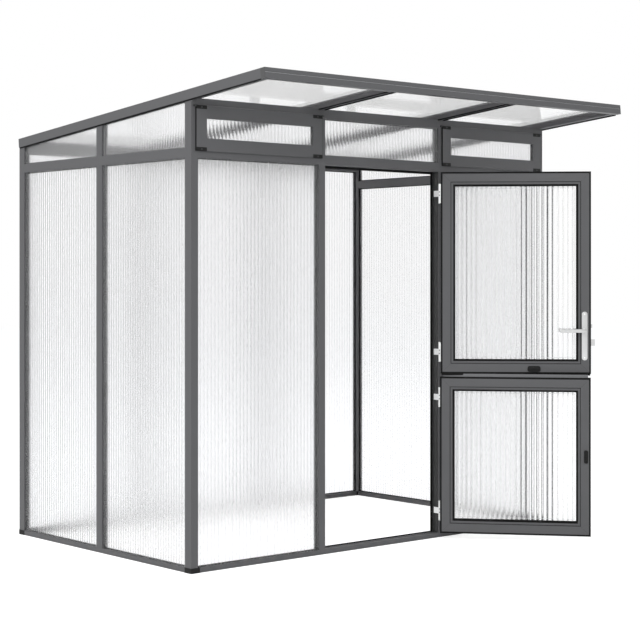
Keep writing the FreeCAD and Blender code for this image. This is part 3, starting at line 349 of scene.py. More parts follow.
@dataclass(frozen=True)
class ClearSheet(Look):
    """Extruded sheet, part clear and part milky, with faint draw lines along its flutes."""

    name: str = "twin_wall"
    deep: Colour = (0.972, 0.973, 0.98)
    light: Colour = (0.994, 0.994, 0.998)
    clearness: float = 0.975
    roughness: float = 0.26
    refraction: float = 1.3
    drawn: Colour = (160.0, 160.0, 1.2)
    rise: float = 0.02

    def paint(self, graph: Graph) -> None:
        """Fill the graph: the draw lines move colour and roughness.

        Args:
            graph: The finish's graph.
        """
        draw = graph.noise(graph.stretched(graph.place(), self.drawn), 1.0)
        graph.principled({
            "Base Color": graph.mix(draw, self.deep, self.light),
            "Roughness": self.roughness + self.rise * draw,
            "IOR": self.refraction,
            "Transmission Weight": self.clearness,
        })


@dataclass(frozen=True)
class SheetWeb(Look):
    """Webs, ribs and tape of a sheet, which cover a share of what lies behind them."""

    name: str = "sheet_web"
    colour: Colour = grey(0.93)
    light: Colour = grey(0.99)
    cover: float = 0.04
    roughness: float = 0.35
    drawn: Colour = (40.0, 40.0, 0.7)
    rise: float = 0.1
    cover_least: float = 0.8
    cover_rise: float = 0.4

    def paint(self, graph: Graph) -> None:
        """Fill the graph: the draw lines move colour, roughness and cover.

        Args:
            graph: The finish's graph.
        """
        draw = graph.noise(graph.stretched(graph.place(), self.drawn), 1.0)
        graph.principled({
            "Base Color": graph.mix(draw, self.colour, self.light),
            "Roughness": self.roughness + self.rise * draw,
            "Alpha": self.cover * (self.cover_least + self.cover_rise * draw),
        })


class Slot(Enum):
    """The material slots of the model."""

    FRAME = "frame_aluminium"
    SHEET = "twin_wall_sheet"
    PLASTIC = "black_plastic"
    RUBBER = "seal_rubber"
    STEEL = "satin_steel"
    DARK = "dark_steel"


class Finish(Enum):
    """The finishes of the house, each with its sizes and colours."""

    COAT = PowderCoat()
    BAR = PowderCoat("weather_bar_coat", (0.165, 0.166, 0.172))
    # Pale coat of the fascia bead: a painted highlight along the fascia, not the frame's own colour.
    PAINTED_HIGHLIGHT_COAT = PowderCoat("bead_coat", (0.6, 0.6, 0.605))
    SHEET = ClearSheet()
    LIGHT_SHEET = ClearSheet("light_twin_wall", clearness=0.95, roughness=0.12)
    ROOF_SHEET = ClearSheet("roof_twin_wall", grey(0.985), grey(1.0), clearness=1.0,
                            roughness=0.05, refraction=1.1)
    LEAF_SHEET = ClearSheet("leaf_twin_wall", grey(0.99), grey(1.0), clearness=0.975,
                            roughness=0.1)
    WEB = SheetWeb()
    ROOF_WEB = SheetWeb("roof_sheet_web", cover=0.05)
    LEAF_WEB = SheetWeb("leaf_sheet_web", cover=0.05)
    RIB = SheetWeb("sheet_rib", grey(0.95), grey(0.99), cover=0.045)
    LEAF_RIB = SheetWeb("leaf_sheet_rib", grey(0.97), grey(1.0), cover=0.2)
    TAPE = SheetWeb("glazing_tape", cover=0.7)
    RUBBER = Rubber()
    MOULDING = Moulding()
    END_PLATE = Moulding("end_plate_grey", grey(0.078), grey(0.1))
    # Dark grey of the reveal liners: painted shade inside the doorway.
    SHADE_LINER = Moulding("shade_liner_grey", grey(0.036), grey(0.05))
    SATIN = SatinMetal()
    ZINC = SatinMetal("bright_zinc", grey(0.86), grey(0.74), roughness=0.42)
    DARK = SatinMetal("dark_metal", grey(0.09), grey(0.06), roughness=0.4)


class Paints:
    """The materials made so far, one for each finish."""

    def __init__(self) -> None:
        """Start with none."""
        self.made: dict[Finish, bpy.types.Material] = {}

    def of(self, finish: Finish) -> bpy.types.Material:
        """The material of a finish, made when it is first asked for."""
        if finish not in self.made:
            self.made[finish] = finish.value.material()
        return self.made[finish]


@dataclass
class Form:
    """A surface: its corners, one row each, and the corner numbers of its faces."""

    points: np.ndarray
    faces: list[list[int]]

    def outward(self) -> "Form":
        """This closed surface with its faces outwards.

        The volume is a sixth of the sum, over all triangles, of the first corner times the
        cross product of the other two. Where it is below zero, every face is turned round.

        Returns:
            This same form.
        """
        corners = np.array([(face[0], face[i], face[i + 1]) for face in self.faces
                            for i in range(1, len(face) - 1)])
        first, second, third = (self.points[corners[:, i]] for i in range(3))
        if (first * np.cross(second, third)).sum() < 0:
            self.faces = [face[::-1] for face in self.faces]
        return self


def together(forms: list[Form]) -> Form:
    """Several forms as one.

    Args:
        forms: The forms, in the order that their faces keep.

    Returns:
        The one form.
    """
    starts = np.cumsum([0] + [len(form.points) for form in forms])
    faces = [[int(start) + corner for corner in face]
             for start, form in zip(starts, forms) for face in form.faces]
    return Form(np.concatenate([form.points for form in forms]), faces)


def grid_form(grid: np.ndarray, ring: bool = False) -> Form:
    """A closed skin over a grid of points.

    Args:
        grid: Points by row and by column; each row is a closed loop.
        ring: Whether the last row joins the first. Otherwise both ends get a flat face.

    Returns:
        The form, faces outwards.
    """
    rows, columns = grid.shape[:2]
    index = np.arange(rows * columns).reshape(rows, columns)
    after = np.roll(index, -1, axis=0) if ring else index[1:]
    before = index if ring else index[:-1]
    quads = np.stack([before, np.roll(before, -1, axis=1), np.roll(after, -1, axis=1), after], -1)
    faces = quads.reshape(-1, 4).tolist()
    if not ring:
        faces += [index[0, ::-1].tolist(), index[-1].tolist()]
    return Form(grid.reshape(-1, 3), faces).outward()


@dataclass(frozen=True)
class Setting:
    """A frame of reference: an origin and three square axes, one in each column."""

    origin: tuple[float, float, float] = (0.0, 0.0, 0.0)
    axes: np.ndarray = field(default_factory=lambda: np.eye(3))

    def out(self, form: Form) -> Form:
        """A form given in this setting, in the model's frame: origin plus axes times point."""
        return Form(form.points @ self.axes.T + np.array(self.origin), form.faces).outward()

    def into(self, points: np.ndarray) -> np.ndarray:
        """Points of the model's frame, as this setting counts them."""
        return (points - np.array(self.origin)) @ self.axes

    def box(self, node: str) -> tuple[np.ndarray, np.ndarray]:
        """A solid's lowest and highest corner, as this setting counts them."""
        return ends(self.into(solid_points(node)))


HOUSE = Setting()
ACROSS_SIDE = Setting(axes=np.array([[0.0, -1.0, 0.0], [1.0, 0.0, 0.0], [0.0, 0.0, 1.0]]))


def roof_setting(degrees: float = 5.0) -> Setting:
    """The roof's own frame: to the left, square out of the roof, and down its slope.

    Args:
        degrees: The slope.

    Returns:
        The setting.
    """
    sine = math.sin(math.radians(degrees))
    cosine = math.cos(math.radians(degrees))
    return Setting(axes=np.array([[-1.0, 0.0, 0.0], [0.0, sine, cosine], [0.0, cosine, -sine]]).T)


def leaf_setting(joint: str) -> Setting:
    """The frame of a door leaf: from the hinge axis to its free edge, outwards and up.

    A leaf that stands open by an angle points that angle less 180 degrees from +X.

    Args:
        joint: The leaf's hinge.

    Returns:
        The setting.
    """
    entry = next(item for item in frame["joints"] if item["name"] == joint)
    x, y, _ = entry["pos_m"]
    angle = math.radians(-entry["range_deg"][0] - 180.0)
    cosine = math.cos(angle)
    sine = math.sin(angle)
    return Setting((x, y, 0.0), np.array([[cosine, -sine, 0.0], [sine, cosine, 0.0], [0, 0, 1.0]]))


def solid_points(node: str) -> np.ndarray:
    """Every corner of a solid of the model, one row each.

    Args:
        node: The solid.

    Returns:
        The corners.
    """
    mesh = frame["nodes"][node].data
    points = np.empty(len(mesh.vertices) * 3)
    mesh.vertices.foreach_get("co", points)
    return points.reshape(-1, 3)


def ends(points: np.ndarray) -> tuple[np.ndarray, np.ndarray]:
    """The lowest and the highest corner of the box round some points."""
    return points.min(axis=0), points.max(axis=0)


def split(points: np.ndarray, axis: int, gap: float) -> list[np.ndarray]:
    """Points in groups that lie more than a gap apart along one axis.

    Args:
        points: The points, one row each.
        axis: The number of the axis.
        gap: The gap.

    Returns:
        The groups, from the low end of the axis.
    """
    order = points[np.argsort(points[:, axis])]
    steps = np.flatnonzero(np.diff(order[:, axis]) > gap) + 1
    return np.split(order, steps)


def rectangle(low: np.ndarray, high: np.ndarray) -> np.ndarray:
    """The corners of a rectangle on the first and third axes, in order."""
    return np.array([[low[0], low[2]], [high[0], low[2]], [high[0], high[2]], [low[0], high[2]]])


def moved(profile: Profile, across: float, depth: float, way: float = 1.0) -> Profile:
    """A section moved across and in depth; its own depths count backwards where way is -1."""
    return tuple((across + x, depth + way * y) for x, y in profile)


def ring(section: Profile, corners: np.ndarray) -> Form:
    """A moulding carried round a flat outline, with mitred corners.

    The outline lies in the first and third axes. At a corner a point of the section lies inside
    by its inset times the sum of the two edges' inward normals, over 1 plus their product.

    Args:
        section: The moulding's outline: insets from the corners' outline, and depths.
        corners: The outline's corners, against the clock, one row each.

    Returns:
        The form.
    """
    outline = np.array(section)
    edges = np.roll(corners, -1, axis=0) - corners
    edges = edges / np.linalg.norm(edges, axis=1)[:, None]
    inward = np.stack([-edges[:, 1], edges[:, 0]], axis=1)
    before = np.roll(inward, 1, axis=0)
    mitre = (inward + before) / (1.0 + (inward * before).sum(axis=1))[:, None]
    flat = corners[:, None, :] + mitre[:, None, :] * outline[None, :, :1]
    depth = np.broadcast_to(outline[None, :, 1], flat.shape[:2])
    return grid_form(np.stack([flat[..., 0], depth, flat[..., 1]], axis=-1), ring=True)


def bar(section: Profile, start: np.ndarray, end: np.ndarray, outwards: np.ndarray) -> Form:
    """A moulding carried along a straight line.

    Args:
        section: The outline: places to the side of the line, and outwards from it.
        start: Where the line starts.
        end: Where it ends.
        outwards: The direction that the section's second number counts along.

    Returns:
        The form.
    """
    outline = np.array(section)
    along = (end - start) / np.linalg.norm(end - start)
    side = np.cross(along, outwards)
    offset = outline[:, :1] * side + outline[:, 1:] * outwards
    return grid_form(np.stack([start + offset, end + offset]))


def round_bar_section(width: float, height: float, steps: int = 8) -> Profile:
    """Half an ellipse on its flat: across is the half width times the cosine, up the sine."""
    angles = np.linspace(0.0, math.pi, steps)
    return tuple((width / 2 * math.cos(angle), height * math.sin(angle)) for angle in angles)


def lathed(profile: Profile, centre: np.ndarray, axis: np.ndarray, steps: int) -> Form:
    """A profile turned about an axis.

    Args:
        profile: Radius and height of each ring, from one end to the other.
        centre: Where the height is nothing.
        axis: The direction of the height.
        steps: The number of corners of a ring.

    Returns:
        The form.
    """
    spare = ACROSS if abs(axis[0]) < 0.9 else THROUGH
    first = np.cross(axis, spare)
    first /= np.linalg.norm(first)
    second = np.cross(axis, first)
    turn = np.linspace(0.0, 2 * math.pi, steps, endpoint=False)[:, None]
    circle = np.cos(turn) * first + np.sin(turn) * second
    rings = np.array(profile)
    return grid_form(centre + rings[:, None, :1] * circle + rings[:, None, 1:] * axis)


PAN_HEAD = ((1.0, -0.2), (1.0, 0.45), (0.86, 0.86), (0.6, 1.0), (0.34, 1.0), (0.3, 0.5),
            (0.04, 0.5))
SCREW_SIDES = 12


def pan_head(centre: np.ndarray, axis: np.ndarray, radius: float, height: float) -> Form:
    """A pan-head screw with a round recess, turned from a profile in radii and heights."""
    profile = tuple((radius * across, height * up) for across, up in PAN_HEAD)
    return lathed(profile, centre, axis, SCREW_SIDES)


BLOCK_SIDES = np.array([[0, 1, 2, 3], [7, 6, 5, 4], [0, 4, 5, 1], [1, 5, 6, 2], [2, 6, 7, 3],
                        [3, 7, 4, 0]])


def blocks(corners: np.ndarray) -> Form:
    """Many six-sided blocks as one form.

    Args:
        corners: The blocks' corners, by block: one face in order round it, then the face behind.

    Returns:
        The form, faces outwards.
    """
    faces = np.arange(len(corners))[:, None, None] * corners.shape[1] + BLOCK_SIDES
    return Form(corners.reshape(-1, 3), faces.reshape(-1, 4).tolist()).outward()


@dataclass(frozen=True)
class Plate:
    """A flat piece with round corners and a rounded rim, on a face square to the second axis.

    A ring of the rim is the outline drawn in by an inset: the corner radius less the inset,
    turned about the corner centres, which stay where they are.
    """

    half_width: float
    half_height: float
    corner: float
    thickness: float
    rim: float
    steps: int = 9
    rim_steps: int = 5
    least_radius: float = 0.0002

    def form(self, centre: np.ndarray, outwards: float) -> Form:
        """The plate's form.

        Args:
            centre: The middle of its back.
            outwards: 1 where its front faces up the second axis, -1 where down it.

        Returns:
            The form.
        """
        quarter = np.linspace(0.0, math.pi / 2, self.steps)
        turn = np.concatenate([quarter + math.pi / 2 * step for step in range(4)])
        sign_x = np.repeat([1.0, -1.0, -1.0, 1.0], self.steps)
        sign_z = np.repeat([1.0, 1.0, -1.0, -1.0], self.steps)
        fall = np.linspace(0.0, math.pi / 2, self.rim_steps)
        insets = np.concatenate([[0.0], self.rim * (1 - np.cos(fall))])
        heights = np.concatenate([[0.0], self.thickness - self.rim * (1 - np.sin(fall))])
        radius = np.maximum(self.corner - insets, self.least_radius)[:, None]
        shift = insets[:, None] - (self.corner - radius)
        x = sign_x * (self.half_width - self.corner - shift) + radius * np.cos(turn)
        z = sign_z * (self.half_height - self.corner - shift) + radius * np.sin(turn)
        y = np.broadcast_to(outwards * heights[:, None], x.shape)
        return grid_form(centre + np.stack([x, y, z], axis=-1))


@dataclass(frozen=True)
class Pane:
    """One sheet in its setting: across, through and along its flutes, with two top heights."""

    low: np.ndarray
    high: np.ndarray
    tops: tuple[float, float]

    @property
    def width(self) -> float:
        """Its size across the flutes."""
        return self.high[0] - self.low[0]

    def top(self, share: np.ndarray) -> np.ndarray:
        """The height of the top edge at a share of the width, along a straight line."""
        return self.tops[0] + (self.tops[1] - self.tops[0]) * share


@dataclass(frozen=True)
class Fluting:
    """The section of a fluted sheet, and the forms that are cut from it."""

    pitch: float
    depth: float
    rib_width: float
    web_width: float = 0.0006
    rib_thickness: float = 0.0001
    steps: int = 12
    end_gap: float = 0.0005
    web_gap: float = 0.0005
    rib_gap: float = 0.00015

    def count(self, pane: Pane) -> int:
        """How many flutes fit across a sheet, at about the pitch."""
        return int(round(pane.width / self.pitch))

    def slab(self, pane: Pane) -> Form:
        """A slab with both faces in soft flutes.

        A face lies below its crests by the depth times half of (1 less the cosine of one turn
        for each flute).

        Args:
            pane: The sheet.

        Returns:
            The form.
        """
        count = self.count(pane)
        share = np.linspace(0.0, 1.0, count * self.steps + 1)
        dip = self.depth * (1.0 - np.cos(2 * math.pi * count * share)) / 2
        across = pane.low[0] + pane.width * share
        near = pane.low[1] + dip
        far = pane.high[1] - dip
        foot = np.full_like(across, pane.low[2] + self.end_gap)
        top = pane.top(share) - self.end_gap
        corners = [np.stack([across, through, level], axis=-1)
                   for through, level in ((near, foot), (near, top), (far, top), (far, foot))]
        return grid_form(np.stack(corners, axis=1))

    def boards(self, pane: Pane, width: float, depths: tuple[float, float]) -> Form:
        """One closed board along each trough.

        Args:
            pane: The sheet.
            width: The board's width along the first axis.
            depths: Where it starts and ends along the second axis.

        Returns:
            The form.
        """
        count = self.count(pane)
        middle = (np.arange(count) + 0.5) / count * pane.width + pane.low[0]
        foot = np.full_like(middle, pane.low[2] + 2 * self.end_gap)
        left = middle - width / 2
        right = middle + width / 2
        top_left, top_right = (pane.top((edge - pane.low[0]) / pane.width) - 2 * self.end_gap
                               for edge in (left, right))
        loop = ((left, foot), (right, foot), (right, top_right), (left, top_left))
        corners = [np.stack([across, np.full_like(middle, depth), level], axis=-1)
                   for depth in depths for across, level in loop]
        return blocks(np.stack(corners, axis=1))

    def webs(self, pane: Pane) -> Form:
        """The thin webs inside a sheet, one upright board in each trough."""
        gap = self.depth + self.web_gap
        return self.boards(pane, self.web_width, (pane.low[1] + gap, pane.high[1] - gap))

    def ribs(self, pane: Pane) -> Form:
        """The pale lines where webs meet the skins, as thin boards over both faces' troughs.

        A board's edges lie on the face, at the depth times half of (1 plus the cosine of half a
        turn times its share of the pitch), and a hair in front of it.

        Args:
            pane: The sheet.

        Returns:
            The form.
        """
        dip = self.depth * (1 + math.cos(math.pi * self.rib_width / self.pitch)) / 2 - self.rib_gap
        near = pane.low[1] + dip
        far = pane.high[1] - dip
        faces = ((near, near + self.rib_thickness), (far - self.rib_thickness, far))
        return together([self.boards(pane, self.rib_width, depths) for depths in faces])


@dataclass(frozen=True)
class SheetMake:
    """How a sheet is made: its flutes, and the finishes of skins, webs and ribs."""

    fluting: Fluting
    skin: Finish
    web: Finish
    rib: Finish


class SheetKind(Enum):
    """The fluted sheets of the house."""

    WALL = SheetMake(Fluting(0.0213, 0.0015, 0.0065), Finish.SHEET, Finish.WEB, Finish.RIB)
    LIGHT = SheetMake(Fluting(0.0213, 0.0012, 0.0065), Finish.LIGHT_SHEET, Finish.WEB, Finish.RIB)
    ROOF = SheetMake(Fluting(0.0213, 0.0001, 0.003), Finish.ROOF_SHEET, Finish.ROOF_WEB, Finish.RIB)
    LEAF = SheetMake(Fluting(0.0249, 0.0018, 0.0080), Finish.LEAF_SHEET, Finish.LEAF_WEB,
                     Finish.LEAF_RIB)


class Workshop:
    """Makes pieces from forms, dresses them and hangs them on their bodies."""

    def __init__(self, paints: Paints) -> None:
        """Keep the paints."""
        self.paints = paints

    def piece(self, name: str, forms: list[Form], finish: Finish, slot: Slot, body: str,
              setting: Setting = HOUSE, stands_for: tuple[str, ...] = (),
              crease: float = 40.0) -> bpy.types.Object:
        """One new piece.

        Args:
            name: Its name.
            forms: The forms it is made of.
            finish: Its finish.
            slot: Not used.
            body: The body it rides on.
            setting: The setting that the forms are given in.
            stands_for: The solids that it replaces.
            crease: The angle in degrees past which an edge stays sharp.

        Returns:
            The object.
        """
        form = together([setting.out(form) for form in forms])
        mesh = bpy.data.meshes.new(name)
        mesh.from_pydata(form.points, [], form.faces)
        mesh.polygons.foreach_set("use_smooth", np.ones(len(form.faces), dtype=bool))
        mesh.set_sharp_from_angle(angle=math.radians(crease))
        mesh.materials.append(self.paints.of(finish))
        made = bpy.data.objects.new(name, mesh)
        bpy.context.scene.collection.objects.link(made)
        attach(made, body)
        if stands_for:
            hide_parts(*stands_for)
        log.info("%s: %d faces on %s", name, len(form.faces), body)
        return made

    def further_finishes(self, piece: bpy.types.Object, finishes: dict[int, Finish]) -> None:
        """Give a piece's faces other finishes, each from a face number on.

        Args:
            piece: The piece.
            finishes: The finishes by first face, in rising order.
        """
        marks = np.zeros(len(piece.data.polygons), dtype=np.int32)
        for first_face, finish in finishes.items():
            marks[first_face:] += 1
            piece.data.materials.append(self.paints.of(finish))
        piece.data.polygons.foreach_set("material_index", marks)


@dataclass(frozen=True)
class Glazing:
    """Every sheet of the house, each in the place of its plain solid."""

    nodes: tuple[tuple[str, str], ...] = (
        ("front_panel_left", "frame"), ("front_panel_right", "frame"), ("fixed_light", "frame"),
        ("side_panels_left", "frame"), ("side_panels_right", "frame"), ("side_lights", "frame"),
        ("rear_panels", "frame"), ("roof_panels", "frame"),
        ("vent_glazing_left", "vent_left"), ("vent_glazing_right", "vent_right"),
        ("upper_leaf_glazing", "upper_leaf"), ("lower_leaf_glazing", "lower_leaf"),
    )
    between_sheets: float = 0.026
    between_walls: float = 0.1
    same_edge: float = 0.0005
    crease: float = 50.0

    def setting(self, node: str) -> Setting:
        """The frame that a sheet lies square in: across, through and along its flutes.

        Args:
            node: The solid that the sheet is cut from.

        Returns:
            The setting.
        """
        if node.startswith("side"):
            return ACROSS_SIDE
        if node.startswith("roof"):
            return roof_setting()
        if "_leaf_" in node:
            return leaf_setting(node.replace("_glazing", "_hinge"))
        return HOUSE

    def kind(self, node: str) -> SheetKind:
        """Which sheet a solid is cut from.

        Args:
            node: The solid.

        Returns:
            The kind of sheet.
        """
        if "_leaf_" in node:
            return SheetKind.LEAF
        if node.startswith("roof"):
            return SheetKind.ROOF
        return SheetKind.LIGHT if "light" in node or node.startswith("vent") else SheetKind.WALL

    def panes(self, points: np.ndarray) -> list[Pane]:
        """The sheets that a solid holds.

        Args:
            points: The solid's corners in the sheet's setting. A step between them that is
                wider than a channel is the gap between two sheets.

        Returns:
            The sheets, each with its own top edge.
        """
        found = []
        for wall in split(points, 1, self.between_walls):
            for sheet in split(wall, 0, self.between_sheets):
                low, high = ends(sheet)
                tops = tuple(sheet[np.abs(sheet[:, 0] - edge) < self.same_edge, 2].max()
                             for edge in (low[0], high[0]))
                found.append(Pane(low, high, tops))
        return found

    def build(self, shop: Workshop) -> None:
        """Make every sheet and put it in the place of its solid.

        Args:
            shop: Where pieces are made.
        """
        for node, body in self.nodes:
            setting = self.setting(node)
            make = self.kind(node).value
            panes = self.panes(setting.into(solid_points(node)))
            slabs = [make.fluting.slab(pane) for pane in panes]
            webs = [make.fluting.webs(pane) for pane in panes]
            ribs = [make.fluting.ribs(pane) for pane in panes]
            piece = shop.piece(node + "_sheet", slabs + webs + ribs, make.skin, Slot.SHEET, body,
                               setting, (node,), self.crease)
            first_web = sum(len(slab.faces) for slab in slabs)
            first_rib = first_web + sum(len(web.faces) for web in webs)
            shop.further_finishes(piece, {first_web: make.web, first_rib: make.rib})


@dataclass(frozen=True)
class WallShadeGaskets:
    """Black rubber strips between the walls' members and their sheets, on the inner side: partly seals, partly
    painted shade that darkens the members' inner faces.
    """

    nodes: tuple[str, ...] = ("front_panel_left", "front_panel_right", "fixed_light",
                              "side_panels_left", "side_panels_right", "side_lights", "rear_panels")
    room_middle: tuple[float, float, float] = (0.0, -0.75, 1.0)
    wedge: Profile = ((0.0095, 0.0003), (0.0155, 0.0003), (0.0155, 0.0014), (0.0135, 0.0034),
                      (0.0095, 0.006))

    def strip(self, pane: Pane, inwards: float) -> Form:
        """The strip round one sheet, a wedge that is thick where it meets the member.

        Args:
            pane: The sheet.
            inwards: 1 where the room lies up the second axis, -1 where down it.

        Returns:
            The form.
        """
        face = pane.high[1] if inwards > 0 else pane.low[1]
        corners = rectangle(pane.low, pane.high)
        corners[2:, 1] = pane.tops[::-1]
        return ring(moved(self.wedge, 0.0, face, inwards), corners)

    def build(self, shop: Workshop, glazing: Glazing) -> None:
        """Make the black strips of every wall sheet, partly painted shade on the inner side.

        Args:
            shop: Where pieces are made.
            glazing: The sheets.
        """
        strips = []
        for node in self.nodes:
            setting = glazing.setting(node)
            room = setting.into(np.array(self.room_middle))[1]
            for pane in glazing.panes(setting.into(solid_points(node))):
                middle = (pane.low[1] + pane.high[1]) / 2
                strips.append(setting.out(self.strip(pane, np.sign(room - middle))))
        # The black strips darken the members' inner faces: partly painted shade.
        shop.piece("wall_shade_gaskets", strips, Finish.RUBBER, Slot.RUBBER, "frame")


@dataclass(frozen=True)
class LeafTrim:
    """Seals, gaskets, joints and screws of one door leaf."""

    leaf: str
    seal_width: float = 0.009
    bead_width: float = 0.012
    tape_inset: float = 0.0175
    sweep_inset: float = 0.004
    sweep_depth: float = 0.0008
    seal: Profile = ((0.0003, 0.003), (0.0003, 0.0), (0.0012, -0.0002), (0.008, -0.0002),
                     (0.009, 0.0003), (0.009, 0.003))
    gasket_at_bead: Profile = ((-0.001, 0.003), (0.0008, 0.001), (0.0026, 0.0008),
                               (0.0074, 0.0045))
    gasket_at_sheet: Profile = ((0.0104, -0.007), (0.0104, -0.002), (0.0094, -0.0003),
                                (-0.001, -0.0003))
    outer_at_sheet: Profile = ((-0.001, 0.0003), (0.005, 0.0003), (0.0052, 0.0014))
    outer_at_face: Profile = ((0.002, -0.0006), (-0.001, -0.0006))
    # The black lip in the step between face and bead is painted shade along the step.
    shade_lip_at_face: Profile = ((-0.0022, 0.002), (-0.0022, 0.0), (-0.001, -0.0002), (0.0006, 0.0006))
    shade_lip_at_bead: Profile = ((0.001, -0.0002),)
    shade_lip_root: Profile = ((0.001, 0.004),)
    tape: Profile = ((0.0, 0.0002), (0.0, -0.0004), (0.003, -0.0004), (0.003, 0.0002))
    hairline: Profile = ((0.0004, -0.0002), (0.0004, 0.0001), (-0.0004, 0.0001),
                         (-0.0004, -0.0002))
    sweep: Profile = ((0.0007, 0.002), (0.0007, -0.0075), (0.0, -0.0085), (-0.0007, -0.0075),
                      (-0.0007, 0.002))

    def rings(self, setting: Setting) -> tuple[list[Form], Form]:
        """What runs round the leaf: black rubber, and the pale tape inside the gasket.

        Args:
            setting: The leaf's setting.

        Returns:
            The rim's seal, the sheet's inner and outer gasket and a black lip in the step between
            face and bead, painted shade along the step; and the tape.
        """
        low, high = setting.box(self.leaf + "_frame")
        bead_low, bead_high = setting.box(self.leaf + "_bead")
        sheet_low, sheet_high = setting.box(self.leaf + "_glazing")
        bead = rectangle(bead_low, bead_high)
        inner = (moved(self.gasket_at_bead, self.bead_width, bead_low[1])
                 + moved(self.gasket_at_sheet, self.bead_width, sheet_low[1]))
        outer = (moved(self.outer_at_sheet, self.bead_width, sheet_high[1])
                 + moved(self.outer_at_face, self.bead_width, high[1]))
        # Black lip in the step: painted shade along the step between face and bead.
        lip = (moved(self.shade_lip_at_face, 0.0, low[1]) + moved(self.shade_lip_at_bead, 0.0, bead_low[1])
               + moved(self.shade_lip_root, 0.0, low[1]))
        tape = moved(self.tape, self.bead_width + self.tape_inset, sheet_low[1])
        rubber = [ring(moved(self.seal, 0.0, low[1]), rectangle(low, high)), ring(inner, bead),
                  ring(outer, bead), ring(lip, bead)]
        return rubber, ring(tape, bead)

    def joints(self, setting: Setting) -> list[Form]:
        """The mitre joints: a hairline from the rim seal to the bead at each corner, both faces.

        Args:
            setting: The leaf's setting.

        Returns:
            The hairlines.
        """
        low, high = setting.box(self.leaf + "_frame")
        inner_low, inner_high = setting.box(self.leaf + "_bead")
        lines = []
        for x, inner_x in ((low[0], inner_low[0]), (high[0], inner_high[0])):
            for z, inner_z in ((low[2], inner_low[2]), (high[2], inner_high[2])):
                sign = np.array([np.sign(inner_x - x), 0.0, np.sign(inner_z - z)])
                for face, way in ((low[1], -1.0), (high[1], 1.0)):
                    start = np.array([x, face, z]) + sign * self.seal_width
                    end = np.array([inner_x, face, inner_z])
                    lines.append(bar(self.hairline, start, end, way * THROUGH))
        return lines

    def foot_lip(self, setting: Setting) -> Form:
        """The rubber lip that hangs from the leaf's foot, in front of the weather bar.

        Args:
            setting: The leaf's setting.

        Returns:
            The form.
        """
        low, high = setting.box(self.leaf + "_frame")
        start = low + self.sweep_inset * ACROSS + self.sweep_depth * THROUGH
        return bar(self.sweep, start, start + (high[0] - low[0] - 2 * self.sweep_inset) * ACROSS, UP)

    def build(self, shop: Workshop, with_sweep: bool) -> None:
        """Make the leaf's trim.

        Args:
            shop: Where pieces are made.
            with_sweep: Whether a lip hangs from the foot.
        """
        setting = leaf_setting(self.leaf + "_hinge")
        rubber, tape = self.rings(setting)
        if with_sweep:
            rubber.append(self.foot_lip(setting))
        shop.piece(self.leaf + "_gaskets", rubber, Finish.RUBBER, Slot.RUBBER, self.leaf, setting)
        shop.piece(self.leaf + "_mitres", self.joints(setting), Finish.DARK, Slot.FRAME, self.leaf,
                   setting)
        shop.piece(self.leaf + "_edge_tape", [tape], Finish.TAPE, Slot.SHEET, self.leaf, setting)


